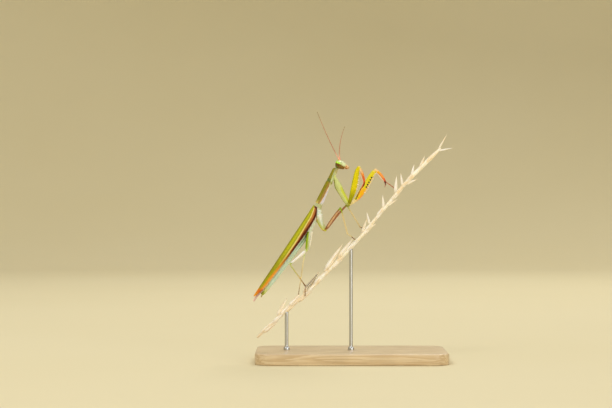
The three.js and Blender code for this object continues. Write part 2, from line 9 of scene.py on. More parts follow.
import bmesh
import bpy
import numpy as np
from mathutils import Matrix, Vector


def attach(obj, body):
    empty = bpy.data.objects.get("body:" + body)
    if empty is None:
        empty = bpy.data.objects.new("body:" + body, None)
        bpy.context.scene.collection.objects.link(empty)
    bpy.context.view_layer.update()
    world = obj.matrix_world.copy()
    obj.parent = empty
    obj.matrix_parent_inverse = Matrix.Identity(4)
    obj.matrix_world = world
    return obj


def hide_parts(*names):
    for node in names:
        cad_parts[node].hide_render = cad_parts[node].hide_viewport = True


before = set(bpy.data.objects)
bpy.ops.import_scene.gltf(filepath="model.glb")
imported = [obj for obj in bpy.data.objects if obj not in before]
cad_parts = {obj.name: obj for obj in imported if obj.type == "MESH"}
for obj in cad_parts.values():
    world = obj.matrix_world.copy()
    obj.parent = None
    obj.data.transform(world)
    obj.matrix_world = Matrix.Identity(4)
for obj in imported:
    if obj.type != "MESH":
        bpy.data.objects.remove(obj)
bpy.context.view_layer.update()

bl_info = {
    "name": "Mantis on a Grass Spike",
    "version": (1, 0, 0),
    "blender": (4, 5, 0),
    "location": "3D View > Sidebar > Mantis",
    "description": "Builds a still mantis, its grass perch and its display stand round a packed frame",
    "category": "Add Mesh",
}

MM = 0.001
RIGHT, LEFT = -1, 1
SIDES = {"right": RIGHT, "left": LEFT}
CREASE, GRASS_CREASE = 40, 50  # edges that turn more than this many degrees stay sharp

# ---- Where the parts of the body lie, in millimetres and degrees ----------------------------------------

WING_ROOT = (-13.39, 0.0, 55.78)
TRUNK_PITCH = 56.5
WING_LENGTH = 39.0
PRONOTUM_REAR = (-12.93, 0.0, 56.28)
PRONOTUM_PITCH = 63.0
PRONOTUM_LENGTH = 14.7
NECK_FRONT = (-3.9, 0.0, 70.0)
HEAD_CENTRE = (-3.17, 0.0, 69.91)
HEAD_PITCH = 70.0
VERTEX_Z = 2.5
CHIN_Z = -1.45
CHIN_SET_BACK = 0.35
EYE_RADII = (1.1, 1.0, 1.2)
EYE_PLACE = (-0.04, 1.98, 1.28)
EYE_TILT = 16.0
ABDOMEN_FRONT = -10.0
ABDOMEN_REAR = -37.0
SEGMENT_LENGTH = 3.05
CERCUS_LENGTH = 2.6
CLAW_REACH = 1.9
CLAW_DROP = 1.6

# How fine the fused skins are, in millimetres, and how many of the small things there are.
BODY_VOXEL = 0.1
FACE_VOXEL = 0.04
FORE_LEG_VOXEL = 0.065
LEG_VOXEL = 0.055
CERCUS_LINKS = 11
CERCUS_HAIRS = 36
FEELER_RINGS = 74
LEG_HAIRS = 110
COXA_TEETH = 15
CERCUS_SEED, COXA_SEED, GRASS_SEED = 11, 5, 23
DOT_SIZE = {RIGHT: 0.2, LEFT: 0.28}  # the dark dots at the roots of the fore femora's spines

# The feelers: the point they bend towards and the tip. Both rise from sockets on the face.
SOCKET = (1.2, 0.45, 1.28)
FEELERS = {
    RIGHT: ((-8.0, -1.3, 78.4), (-12.1, -3.6, 88.8)),
    LEFT: ((-4.7, 1.5, 77.5), (-2.1, 5.0, 84.0)),
}

# Each leg hangs from its root. Each length has (length, pitch, splay).
LEGS = {
    "fore_right": (
        (-5.75, -0.9, 65.7), (11.46, -64.4, 14), (14.1, 74.5, 13), (5.5, -70, -14), (7, -115.5, -6),
    ),
    "fore_left": (
        (-5.9, 0.9, 65.2), (10.92, -59.1, 11.1), (15.52, 52, 6.1), (5, -50.5, -12), (6, -38.5, -26),
    ),
    "mid_right": (
        (-11.6, -1.4, 52.4), (6.2, -67.5, 8), (12, 55.4, 37.3), (10.2, -74.9, -24.2), (5.2, -38.5, -48),
    ),
    "mid_left": (
        (-11.5, 1.4, 52.5), (6.2, -64.5, 7), (11.9, 49, 16), (9.6, -58.8, -19.2), (3.2, -22, -28),
    ),
    "hind_right": (
        (-15.1, -1.4, 46.2), (6.7, -96.5, 9), (12.4, -141.4, 53), (13.7, -56.3, -46.2), (4, -89, -24),
    ),
    "hind_left": (
        (-14.2, 1.4, 46.4), (6.2, -98.5, 9), (12.3, -126, 79), (13.8, -99, -50), (7.4, -98.5, -23),
    ),
}
PARTS = ("coxa", "femur", "tibia", "tarsus")

STEM_POINTS = (
    (-33.6, 8.3), (-25.2, 16.1), (-16.9, 23.4), (-6.2, 34.2), (1.4, 42), (10, 52.2), (20, 64),
    (32.1, 76.1),
)
# The spikelets that stand off the spike: share along the stem, side (1 up, -1 down), angle off the stem in
# degrees, length, greatest half width, and how far the root lies from the stem's middle.
SPIKELETS = (
    (0.11, 1, 22, 7.6, 1.05, 0.4),
    (0.17, 1, 9, 6, 1, 0.5),
    (0.245, 1, 9, 9.4, 1.1, 0.8),
    (0.36, 1, 11, 11.6, 1.2, 0.8),
    (0.43, 1, 9, 9.5, 1, 0.6),
    (0.56, 1, 22, 5.6, 0.65, 0.4),
    (0.605, 1, 54, 4.6, 0.62, 0.3),
    (0.58, -1, 14, 4.2, 0.6, 0.2),
    (0.686, 1, 44, 4.7, 0.66, 0.3),
    (0.7, -1, 17, 4.6, 0.6, 0.2),
    (0.758, 1, 37, 6.3, 0.85, 0.4),
    (0.797, 1, 50, 4.4, 0.62, 0.3),
    (0.808, -1, 24, 4.6, 0.62, 0.2),
    (0.848, 1, 32, 4.2, 0.62, 0.3),
    (0.893, 1, 23, 4.4, 0.62, 0.3),
    (0.985, 1, 16, 6.9, 0.45, 0.1),
    (0.985, -1, 33, 5.4, 0.4, 0.1),
)
HUSK = 2  # which of them is the dark striped husk
PRESSED_GLUMES = 10
CLOSE_SCALES = 30  # the small scales wound round the stalk
GOLDEN_ANGLE = 137.5
FIRST_GLUME, LAST_GLUME = 0.03, 0.91

BASE_SIZE = (68.0, 40.0, 4.0)
BASE_CORNER = 6.0
BASE_BEVEL = 0.6
ROD_X = {"low": -23.0, "high": 0.0}
ROD_RADIUS = 0.65
COLLAR_RADIUS = 1.1

CAMERA_DISTANCE = 650.0
CAMERA_AIM = (-16.07, 56.07)
FRAME_WIDTH = 218.6
SENSOR_WIDTH = 36
FLOOR_RADIUS = 900.0
SWEEP = 600.0  # the radius of the curve from the floor up into the backdrop
BACKDROP_TOP = 1100.0
SKY_TINT = (1, 0.98, 0.95, 1)
SKY_STRENGTH = 0.39


# ---- What a user may change -----------------------------------------------------------------------------


def linear(red, green, blue):
    """A colour given as 0 to 255 for the eye, as the shares of light that it stands for."""
    shares = np.array([red, green, blue]) / 255
    return tuple(np.where(shares > 0.04045, ((shares + 0.055) / 1.055) ** 2.4, shares / 12.92).tolist())


def colour(name, description, red, green, blue):
    tint = linear(red, green, blue)
    return bpy.props.FloatVectorProperty(
        name=name, description=description, default=tint, size=3, min=0, max=1, subtype="COLOR"
    )


def length(name, description, millimetres):
    return bpy.props.FloatProperty(
        name=name, description=description, default=millimetres * MM, min=0, precision=5, unit="LENGTH"
    )


class MantisSizes(bpy.types.PropertyGroup):
    """The sizes of the fine parts."""

    feeler_root: length("Feeler root", "Radius of a feeler where it leaves the head", 0.15)
    feeler_tip: length("Feeler tip", "Radius of a feeler at its tip", 0.07)
    wing_thickness: length("Wing thickness", "Thickness of the leathery fore wings", 0.11)
    vein_height: length("Vein height", "How far the main veins stand off the fore wings", 0.045)
    femur_spine: length("Femur spine", "Length of the longest spines under the fore femora", 1.05)
    tibia_spine: length("Tibia spine", "Length of the longest spines under the fore tibiae", 0.6)
    hair: length("Hair", "Length of the fine hairs on the walking legs", 0.32)
    tarsus_radius: length("Foot radius", "Radius of the links of the feet", 0.17)
    glume_thickness: length("Glume thickness", "Thickness of the dry glumes of the grass", 0.07)


class MantisColours(bpy.types.PropertyGroup):
    """The colours of the paints."""

    crown: colour("Crown", "Bright green of the crown and the upper eyes", 180, 242, 58)
    face: colour("Face", "Pale green-white of the face", 226, 236, 182)
    cheek: colour("Cheek", "Golden olive of the cheeks", 132, 96, 26)
    eye_band: colour("Eye band", "Red-brown band low in the eyes", 104, 24, 12)
    peach: colour("Peach", "Upper mouthparts", 252, 212, 158)
    jaw: colour("Jaw", "Lower mouthparts", 184, 108, 48)
    pink: colour("Pink", "First links of the feelers", 244, 176, 150)
    feeler: colour("Feeler", "Salmon brown of the feelers", 188, 114, 80)
    olive: colour("Olive", "Back of the pronotum and edges of the fore legs", 138, 130, 2)
    bark: colour("Bark", "Brown of the pronotum's lower edges", 160, 126, 62)
    lilac: colour("Lilac", "Soft skin under the prothorax", 234, 230, 250)
    milk: colour("Milk", "Whitish green of the thorax", 224, 234, 218)
    sea: colour("Sea", "Blue-green of the abdomen", 212, 238, 222)
    moss: colour("Moss", "Dark green of the abdomen's stripes and tip", 92, 116, 42)
    wing_green: colour("Wing green", "Upper field of the fore wings", 160, 160, 2)
    wing_lime: colour("Wing lime", "Middle of the wings' upper field", 190, 190, 14)
    wing_cream: colour("Wing cream", "Line along the fore wings", 236, 216, 122)
    wing_rust: colour("Wing rust", "Upper edge of the wings' dark margin", 186, 112, 50)
    wing_maroon: colour("Wing maroon", "Front half of the wings' margin", 84, 14, 0)
    wing_orange: colour("Wing orange", "Rear half of the wings' margin", 238, 152, 36)
    wing_fire: colour("Wing fire", "Tips of the fore wings", 216, 100, 28)
    mauve: colour("Mauve", "Clear hind wings", 232, 196, 190)
    pale_green: colour("Pale green", "Coxae", 208, 216, 138)
    lime: colour("Lime", "Joints and front edges of the coxae", 208, 216, 70)
    leaf: colour("Leaf", "Green of the hind coxae and the knees", 146, 172, 22)
    yellow: colour("Yellow", "Fore femora", 228, 212, 0)
    amber: colour("Amber", "Inner side of the fore femora", 250, 180, 10)
    orange: colour("Orange", "Fore tibiae", 252, 160, 76)
    red: colour("Red", "Ends of the fore tibiae and their feet", 232, 98, 44)
    maroon: colour("Maroon", "Claws of the fore tibiae", 84, 12, 16)
    russet: colour("Russet", "Middle femora", 156, 100, 60)
    rose: colour("Rose", "Pale stripe of the middle femora", 226, 184, 140)
    white: colour("White", "Hind femora", 255, 250, 240)
    tan: colour("Tan", "Walking tibiae", 236, 214, 156)
    brown: colour("Brown", "Feet", 134, 88, 52)
    ink: colour("Ink", "Spots and tips of the spines", 18, 14, 10)
    straw: colour("Straw", "Dry grass", 255, 252, 238)
    # shade gives the dry grass its tan streaks, and also the painted shade along the glumes' curled edges
    shade: colour("Shade", "Streaks of the dry grass", 240, 210, 160)
    husk: colour("Husk", "Dark stripes of the old husk", 84, 72, 34)
    maple: colour("Maple", "Wood of the base", 222, 200, 164)
    maple_grain: colour("Maple grain", "Grain lines of the base", 186, 154, 112)
    steel: colour("Steel", "Rods of the stand", 196, 198, 202)
    backdrop: colour("Backdrop", "Floor and backdrop", 220, 208, 168)


# ---- Tools for shapes -----------------------------------------------------------------------------------


def unit(vectors):
    return vectors / np.linalg.norm(vectors, axis=-1, keepdims=True)


def step(values, low, high):
    """0 at or before low, 1 at or past high, and smooth between them."""
    share = np.clip((values - low) / (high - low), 0, 1)
    return share * share * (3 - 2 * share)


def bell(values, width):
    return np.exp(-((values / width) ** 2))


def through(*keys):
    """A smooth curve through (share, value) pairs."""
    at, value = np.array(keys, float).T
    before = np.maximum(np.arange(len(at)) - 1, 0)
    after = np.minimum(np.arange(len(at)) + 1, len(at) - 1)
    slope = (value[after] - value[before]) / (at[after] - at[before])

    def read(share):
        share = np.asarray(share, float)
        i = np.clip(np.searchsorted(at, share, "right") - 1, 0, len(at) - 2)
        span = at[i + 1] - at[i]
        s = np.clip((share - at[i]) / span, 0, 1)
        rise = (value[i + 1] - value[i]) * s * s * (3 - 2 * s)
        bend = s * (1 - s) ** 2 * slope[i] + s * s * (s - 1) * slope[i + 1]
        return value[i] + rise + bend * span

    return read


class Place:
    """A set of axes fixed to one part of the body."""

    def __init__(self, origin, ahead, up):
        self.origin = np.array(origin, float)
        self.ahead = unit(np.array(ahead, float))
        up = np.array(up, float)
        self.up = unit(up - self.ahead * (self.ahead @ up))
        self.across = np.cross(self.up, self.ahead)

    def out(self, x, y, z):
        """Points in the part's frame from their places along these axes."""
        x, y, z = (np.asarray(v, float)[..., None] for v in (x, y, z))
        return self.origin + self.ahead * x + self.across * y + self.up * z

    def into(self, points):
        offset = points - self.origin
        return offset @ self.ahead, offset @ self.across, offset @ self.up


def pitched(origin, degrees):
    turn = math.radians(degrees)
    return Place(origin, (math.cos(turn), 0, math.sin(turn)), (-math.sin(turn), 0, math.cos(turn)))


HEAD = pitched(HEAD_CENTRE, HEAD_PITCH)
SHIELD = pitched(PRONOTUM_REAR, PRONOTUM_PITCH)
TRUNK = pitched(WING_ROOT, TRUNK_PITCH)


def tube(path, width, depth, rows, sides, level=(0, 1, 0), ends=0.0, even=False, relief=None):
    """Rings of points along a path, and the share and the angle of each. 90 degrees is the back."""
    row = np.arange(rows + 1) / rows
    share = row if even else 0.5 - 0.5 * np.cos(np.pi * row)
    centre = path(share)
    ahead = unit(path(np.minimum(share + 0.01, 1)) - path(np.maximum(share - 0.01, 0)))
    level = np.asarray(level, float)
    across = unit(level - ahead * (ahead @ level)[:, None])
    up = np.cross(ahead, across)
    nearest = np.minimum(np.minimum(share, 1 - share), ends) / ends if ends else np.ones_like(share)
    dome = np.sqrt(np.clip(1 - (1 - nearest) ** 2, 0.0004, 1))
    angle = 2 * np.pi * np.arange(sides) / sides
    share, angle = np.broadcast_arrays(share[:, None], angle[None, :])
    wide = (width(share) if callable(width) else width) * dome[:, None]
    deep = (depth(share) if callable(depth) else depth) * dome[:, None]
    if relief:
        lift = relief(share, angle) * dome[:, None]
        wide, deep = wide + lift, deep + lift
    reach = across[:, None] * (wide * np.cos(angle))[..., None]
    rise = up[:, None] * (deep * np.sin(angle))[..., None]
    return centre[:, None] + reach + rise, share, angle


class Shell:
    """The points and faces of one piece, in millimetres, and the marks at its points."""

    def __init__(self):
        self.points, self.faces, self.marks, self.total = [], [], [], 0

    def add(self, points, faces, **marks):
        points = np.asarray(points, float).reshape(-1, 3)
        self.points.append(points)
        self.faces += [block + self.total for block in faces]
        self.marks.append((len(points), marks))
        self.total += len(points)

    def grid(self, grid, caps=True, **marks):
        """Adds rings of points as a tube, with its ends closed by caps."""
        rows, sides = grid.shape[:2]
        index = np.arange(rows * sides).reshape(rows, sides)
        near, far = index[:-1], index[1:]
        corners = (near, np.roll(near, -1, 1), np.roll(far, -1, 1), far)
        faces = [np.stack(corners, -1).reshape(-1, 4)]
        points = grid.reshape(-1, 3)
        values = {name: np.broadcast_to(value, (rows, sides)) for name, value in marks.items()}
        flat = {name: value.ravel() for name, value in values.items()}
        if caps:
            points = np.concatenate([points, grid[[0, -1]].mean(axis=1)])
            for row, middle in ((0, rows * sides), (rows - 1, rows * sides + 1)):
                ring = index[row]
                fan = np.stack([ring, np.roll(ring, -1), np.full(sides, middle)], -1)
                faces.append(fan)
            for name, value in values.items():
                flat[name] = np.concatenate([flat[name], value[[0, -1]].mean(axis=1)])
        self.add(points, faces, **flat)

    def plate(self, top, bottom, **marks):
        """Adds two sheets of points, one over the other, and closes the rim between them."""
        rows, columns = top.shape[:2]
        index = np.arange(rows * columns).reshape(rows, columns)
        under = rows * columns
        corners = (index[:-1, :-1], index[:-1, 1:], index[1:, 1:], index[1:, :-1])
        quads = np.stack(corners, -1).reshape(-1, 4)
        loop = np.concatenate([index[0, :-1], index[:-1, -1], index[-1, :0:-1], index[:0:-1, 0]])
        onward = np.roll(loop, -1)
        rim = np.stack([loop, onward, onward + under, loop + under], -1)
        values = {name: np.broadcast_to(value, (rows, columns)) for name, value in marks.items()}
        flat = {name: np.tile(value.ravel(), 2) for name, value in values.items()}
        points = np.concatenate([top.reshape(-1, 3), bottom.reshape(-1, 3)])
        self.add(points, [quads, quads[:, ::-1] + under, rim], **flat)

    def mesh(self, name, scale=MM):
        mesh = bpy.data.meshes.new(name)
        faces = [face for block in self.faces for face in block.tolist()]
        mesh.from_pydata((np.concatenate(self.points) * scale).tolist(), [], faces)
        for mark in sorted({mark for _, marks in self.marks for mark in marks}):
            parts = [np.broadcast_to(marks.get(mark, 0.0), count) for count, marks in self.marks]
            held = mesh.attributes.new(mark, "FLOAT", "POINT")
            held.data.foreach_set("value", np.concatenate(parts).astype(np.float32))
        work = bmesh.new()
        work.from_mesh(mesh)
        bmesh.ops.recalc_face_normals(work, faces=work.faces)
        work.to_mesh(mesh)
        work.free()
        return mesh


def fused(shell, voxel, ease):
    """One closed skin round all that is in the shell: its points, their normals and its faces."""
    lump = bpy.data.objects.new("lump", shell.mesh("lump", scale=1.0))
    bpy.context.scene.collection.objects.link(lump)
    wrap = lump.modifiers.new("wrap", "REMESH")
    wrap.mode = "VOXEL"
    wrap.voxel_size = voxel
    smooth = lump.modifiers.new("smooth", "SMOOTH")
    smooth.factor = 0.5
    smooth.iterations = ease
    skin = bpy.data.meshes.new_from_object(lump.evaluated_get(bpy.context.evaluated_depsgraph_get()))
    points = np.empty(len(skin.vertices) * 3, np.float32)
    skin.vertices.foreach_get("co", points)
    normals = np.empty(len(skin.vertices) * 3, np.float32)
    skin.vertex_normals.foreach_get("vector", normals)
    corners = np.empty(len(skin.loops), np.int32)
    skin.loops.foreach_get("vertex_index", corners)
    if len(corners) != 4 * len(skin.polygons):
        raise RuntimeError("the fused skin has faces that aren't quads")
    source = lump.data
    bpy.data.objects.remove(lump)
    bpy.data.meshes.remove(source)
    bpy.data.meshes.remove(skin)
    return points.reshape(-1, 3).astype(float), normals.reshape(-1, 3).astype(float), corners.reshape(-1, 4)


def make_piece(name, shell, material, slot, *nodes, crease=CREASE):
    """Makes the piece's object, sets it on the part's one body and hides the frame's parts that it takes
    the place of.
    """
    mesh = shell.mesh(name)
    mesh.polygons.foreach_set("use_smooth", np.ones(len(mesh.polygons), bool))
    mesh.set_sharp_from_angle(angle=math.radians(crease))
    mesh.materials.append(material)
    piece = bpy.data.objects.new(name, mesh)
    bpy.context.scene.collection.objects.link(piece)
    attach(piece, "root")
    if nodes:
        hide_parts(*nodes)
    return piece


def make_pair(stem, build, material, slot, node, *settings):
    """Makes the right and the left piece of a pair, in one material."""
    for name, side in SIDES.items():
        make_piece(f"{stem}_{name}", build(side, *settings), material, slot, f"{node}_{name}")


def line(start, end):
    start, end = np.array(start, float), np.array(end, float)
    return lambda share: start + (end - start) * np.asarray(share)[..., None]


def thorn(shell, root, out, reach, radius, lean=(0, 0, 0), sides=8, rows=6, **marks):
    """A sharp cone that may lean over as it grows. Its mark tip runs from 0 at the root to 1."""
    root, out, lean = (np.array(v, float) for v in (root, out, lean))
    level = np.cross(out, (0.3, 0.9, 0.2))

    def path(share):
        share = np.asarray(share)[..., None]
        return root + out * reach * share + lean * reach * share**2

    def girth(share):
        return radius * (1 - 0.94 * share**1.3)

    grid, share, _ = tube(path, girth, girth, rows, sides, level=level, even=True)
    shell.grid(grid, tip=share, **marks)


# ---- Tools for paints -----------------------------------------------------------------------------------


# The sockets of a Mix node that is set to colours.
MIX_SHARE, MIX_UNDER, MIX_OVER, MIX_COLOUR = 0, 6, 7, 2
COAT_ROUGHNESS = 0.12
GLOW_SPREAD = (1.0, 0.9, 0.5)
GLOW_DEPTH = 0.35


class Paint:
    """A node material, mixed from its ground colour outwards. A word stands for the mark of that name."""

    def __init__(self, name):
        self.material = bpy.data.materials.new(name)
        self.material.use_nodes = True
        self.tree = self.material.node_tree
        self.shader = self.tree.nodes["Principled BSDF"]
        self.place = self.node("ShaderNodeTexCoord", {}, "Object")

    def node(self, kind, inputs, output, **settings):
        """Makes a node, feeds its inputs and returns one of its outputs."""
        made = self.tree.nodes.new(kind)
        for name, value in settings.items():
            setattr(made, name, value)
        for key, value in inputs.items():
            self.feed(made.inputs[key], value)
        return made.outputs[output]

    def feed(self, socket, value):
        if isinstance(value, str):
            value = self.node("ShaderNodeAttribute", {}, "Fac", attribute_name=value)
        if isinstance(value, bpy.types.NodeSocket):
            self.tree.links.new(value, socket)
        elif hasattr(socket.default_value, "__len__") and len(socket.default_value) == 4:
            socket.default_value = (*value[:3], 1)
        else:
            socket.default_value = value

    def sum(self, operation, a, b=0.0):
        return self.node("ShaderNodeMath", {0: a, 1: b}, 0, operation=operation)

    def times(self, a, b):
        return self.sum("MULTIPLY", a, b)

    def plus(self, a, b):
        return self.sum("ADD", a, b)

    def noise(self, per_mm, detail=3.0, stretch=None, rough=0.55):
        """A grey pattern with that many spots to the millimetre, drawn out along the part's own axes."""
        where = self.place
        if stretch:
            where = self.node("ShaderNodeVectorMath", {0: where, 1: stretch}, 0, operation="MULTIPLY")
        inputs = {"Vector": where, "Scale": per_mm / MM, "Detail": detail, "Roughness": rough}
        return self.node("ShaderNodeTexNoise", inputs, "Fac")

    def wander(self, per_mm, amount, **pattern):
        """A soft drift round zero, so that the edge of a colour doesn't run straight."""
        return self.times(self.sum("SUBTRACT", self.noise(per_mm, **pattern), 0.5), amount)

    def uneven(self, base, spread, per_mm):
        """A roughness that wanders a little round its base value."""
        return self.plus(self.wander(per_mm, spread), base)

    def cells(self, per_mm, feature="DISTANCE_TO_EDGE"):
        inputs = {"Vector": self.place, "Scale": per_mm / MM}
        return self.node("ShaderNodeTexVoronoi", inputs, "Distance", feature=feature)

    def between(self, value, low, high):
        """0 at low, 1 at high, and smooth between them. low may be the greater."""
        inputs = {"Value": value, "From Min": low, "From Max": high}
        return self.node("ShaderNodeMapRange", inputs, "Result", interpolation_type="SMOOTHSTEP")

    def ramp(self, value, stops):
        """Colours along a mark, from (place, colour) pairs whose places run from 0 to 1."""
        made = self.node("ShaderNodeValToRGB", {"Fac": value}, "Color")
        band = made.node.color_ramp
        band.interpolation = "EASE"
        for at, _ in stops[1:-1]:
            band.elements.new(at)
        for element, (at, tint) in zip(band.elements, stops):
            element.position = at
            element.color = (*tint[:3], 1)
        return made

    def mix(self, share, under, over, blend="MIX"):
        inputs = {MIX_SHARE: share, MIX_UNDER: under, MIX_OVER: over}
        return self.node("ShaderNodeMix", inputs, MIX_COLOUR, data_type="RGBA", blend_type=blend)

    def lay(self, under, over, mask, amount):
        """Lays a colour over another where the mask says, as strongly as the amount says."""
        return self.mix(self.times(mask, amount), under, over)

    def mottled(self, tint, per_mm, amount):
        """Lightens and darkens a colour in soft spots."""
        spots = self.between(self.noise(per_mm), 0.3, 0.7)
        dark = self.mix(1.0, tint, (1 - amount,) * 3, "MULTIPLY")
        light = self.mix(amount, tint, (1, 1, 1), "SOFT_LIGHT")
        return self.mix(spots, dark, light)

    def finish(self, tint, roughness, relief, depth, coat=0.0, glow=0.0, metal=0.0, shine=0.3):
        """Joins the colour to the shader. relief is a grey pattern that stands depth millimetres high."""
        bump = {"Height": relief, "Strength": 1.0, "Distance": depth * MM}
        settings = {
            "Base Color": tint,
            "Roughness": roughness,
            "Metallic": metal,
            "Specular IOR Level": shine,
            "Coat Weight": coat,
            "Coat Roughness": COAT_ROUGHNESS,
            "Normal": self.node("ShaderNodeBump", bump, "Normal"),
        }
        if glow:
            settings["Subsurface Weight"] = glow
            settings["Subsurface Radius"] = GLOW_SPREAD
            settings["Subsurface Scale"] = GLOW_DEPTH * MM
        for name, value in settings.items():
            self.feed(self.shader.inputs[name], value)
        return self.material


# ---- Body, pronotum and cerci ---------------------------------------------------------------------------

THORAX = {
    "belly": ((0, -2.7), (0.15, -3.3), (0.28, -4), (0.6, -4.5), (1, -4.75)),
    "back": ((0, -0.35), (0.15, -0.3), (0.28, -0.8), (0.6, -1.2), (1, -1.4)),
    "half": ((0, 1.15), (0.15, 1.15), (0.35, 1.55), (0.6, 1.9), (1, 1.8)),
}
ABDOMEN = {
    "belly": ((0, -4.7), (0.06, -4.9), (0.25, -4.65), (0.5, -4.3), (0.78, -3.7), (1, -3.1)),
    "back": ((0, -1.5), (0.5, -1.35), (0.78, -1.25), (1, -1.5)),
    "half": ((0, 1.75), (0.2, 1.95), (0.5, 1.85), (0.8, 1.5), (1, 0.75)),
}
PROTHORAX = {
    "belly": ((0, -2.75), (0.17, -2.75), (0.3, -2.55), (0.62, -2.25), (0.88, -2.2), (1, -1.8)),
    "back": ((0, -0.4), (1, -0.3)),
    "half": ((0, 0.95), (0.25, 0.8), (0.45, 0.88), (0.64, 1.25), (0.8, 0.95), (1, 0.65)),
}
SHIELD_WRAP = 98.0  # how far its edges reach round from the top, in degrees
EDGE_TEETH = 11  # how closely the teeth stand along its edges
shield_half_width = through((0, 1.25), (0.25, 1.1), (0.45, 1.2), (0.64, 1.65), (0.8, 1.35), (1, 0.9))
shield_half_depth = through((0, 1.4), (0.2, 1.6), (0.55, 1.6), (0.7, 1.3), (0.8, 1.1), (1, 0.9))


def barrel(shell, place, first, last, belly, back, half, rows=60, sides=40, ends=0.05):
    """Adds a swollen tube along the place's own X. Its curves are (share, millimetres) pairs."""
    belly, back, half = through(*belly), through(*back), through(*half)

    def path(share):
        return place.out(first + (last - first) * share, 0 * share, (belly(share) + back(share)) / 2)

    def deep(share):
        return (back(share) - belly(share)) / 2

    grid, _, _ = tube(path, half, deep, rows, sides, level=place.across, ends=ends)
    shell.grid(grid)


def bead(shell, place, centre, radii, tilt=0.0, rows=24, sides=32, **marks):
    """Adds an ellipsoid, turned by tilt degrees about the place's own X. Its marks run from -1 to 1."""
    pole = np.clip(np.pi * np.arange(rows + 1) / rows, 0.02, np.pi - 0.02)[:, None]
    turn = (2 * np.pi * np.arange(sides) / sides)[None, :]
    front, out, up = np.sin(pole) * np.cos(turn), np.sin(pole) * np.sin(turn), np.cos(pole) + 0 * turn
    x, y, z = front * radii[0], out * radii[1], up * radii[2]
    lean = math.radians(tilt)
    y, z = y * math.cos(lean) - z * math.sin(lean), y * math.sin(lean) + z * math.cos(lean)
    grid = place.out(centre[0] + x, centre[1] + y, centre[2] + z)
    shell.grid(grid, front=front, up=up, **marks)


def ring(shell, centre, first, second, thick, around=48, sides=12):
    """Adds a ring. first and second are its half axes."""
    turn = (2 * np.pi * np.arange(around + 1) / around)[:, None]
    spoke = np.cos(turn) * first + np.sin(turn) * second
    lift = unit(np.cross(first, second))
    angle = (2 * np.pi * np.arange(sides) / sides)[None, :, None]
    grid = centre + spoke[:, None] + thick * (unit(spoke)[:, None] * np.cos(angle) + lift * np.sin(angle))
    shell.grid(grid, caps=False)


def body_shell():
    """The soft body as one skin: neck, underside of the prothorax, thorax and abdomen."""
    lump = Shell()
    barrel(lump, TRUNK, 1.7, -10.6, **THORAX)
    barrel(lump, TRUNK, ABDOMEN_FRONT, ABDOMEN_REAR, **ABDOMEN)
    barrel(lump, SHIELD, -0.6, PRONOTUM_LENGTH - 0.1, **PROTHORAX)
    rear = SHIELD.out(12.4, 0, -1.1)
    neck, _, _ = tube(line(rear, NECK_FRONT), 0.6, 0.5, 30, 32)
    lump.grid(neck)
    for side in (RIGHT, LEFT):
        bead(lump, TRUNK, (-1.7, side * 1.05, -3.3), (1.6, 0.75, 0.9))
        bead(lump, TRUNK, (-8.6, side * 1.0, -3.9), (1.6, 0.8, 0.75))
        bead(lump, SHIELD, (9.1, side * 0.5, -1.9), (0.8, 0.5, 0.45))
        bead(lump, SHIELD, (11.5, side * 0.6, -1.6), (0.9, 0.5, 0.5))
    points, normals, faces = fused(lump, BODY_VOXEL, 6)
    x, y, z = TRUNK.into(points)
    ahead, _, under = SHIELD.into(points)
    run = np.clip((ABDOMEN_FRONT - x) / (ABDOMEN_FRONT - ABDOMEN_REAR), 0, 1)
    behind = step(x, ABDOMEN_FRONT + 0.6, ABDOMEN_FRONT - 0.4)
    low, high = through(*ABDOMEN["belly"])(run), through(*ABDOMEN["back"])(run)
    height = (z - low) / (high - low)
    count = (ABDOMEN_FRONT - x) / SEGMENT_LENGTH
    phase = count % 1
    plate = 0.13 * phase**3 * step(phase, 1, 0.95) - 0.04
    fold = bell(height - 0.6, 0.08) * step(run, 0.97, 0.9)
    hole = bell(np.hypot((phase - 0.32) * SEGMENT_LENGTH, (height - 0.52) * 2.4), 0.13)
    crease = bell(phase - 0.5, 0.03) * step(height, 0.6, 0.5)
    lift = behind * (plate * (1 - 0.7 * fold) - 0.14 * fold - 0.1 * hole - 0.02 * crease)
    breast = (1 - behind) * step(ahead, 1.0, -0.4)
    seams = bell(x + 4.7 + 0.35 * (z + 2.4), 0.14) + bell(x + 0.2 - 0.3 * (z + 2.4), 0.12)
    seams += bell(z + 2.2 + 0.12 * x, 0.1) + bell(x + 7.2 + 0.5 * (z + 2.4), 0.1)
    lift -= 0.12 * breast * np.minimum(seams, 1)
    lift -= 0.1 * bell(y, 0.12) * step(z, -2.6, -3.2)
    on_neck = (points - rear) @ unit(NECK_FRONT - rear)
    lift -= 0.05 * step(on_neck, 0.3, 0.7) * np.maximum(np.sin(on_neck * 7), 0)
    folds = bell(ahead - 10.2, 0.12) + bell(ahead - 5.2, 0.1)
    lift -= 0.08 * step(ahead, 0.5, 1.5) * step(under, -0.9, -1.1) * folds
    skin = Shell()
    skin.add(points + normals * lift[:, None], [faces], run=run, phase=phase, height=height, behind=behind,
             hole=hole * behind, seam=breast * np.minimum(seams, 1), ahead=ahead, trunk=-x,
             knob=bell(np.hypot(ahead - 9.1, under + 2.1), 0.6))
    return skin


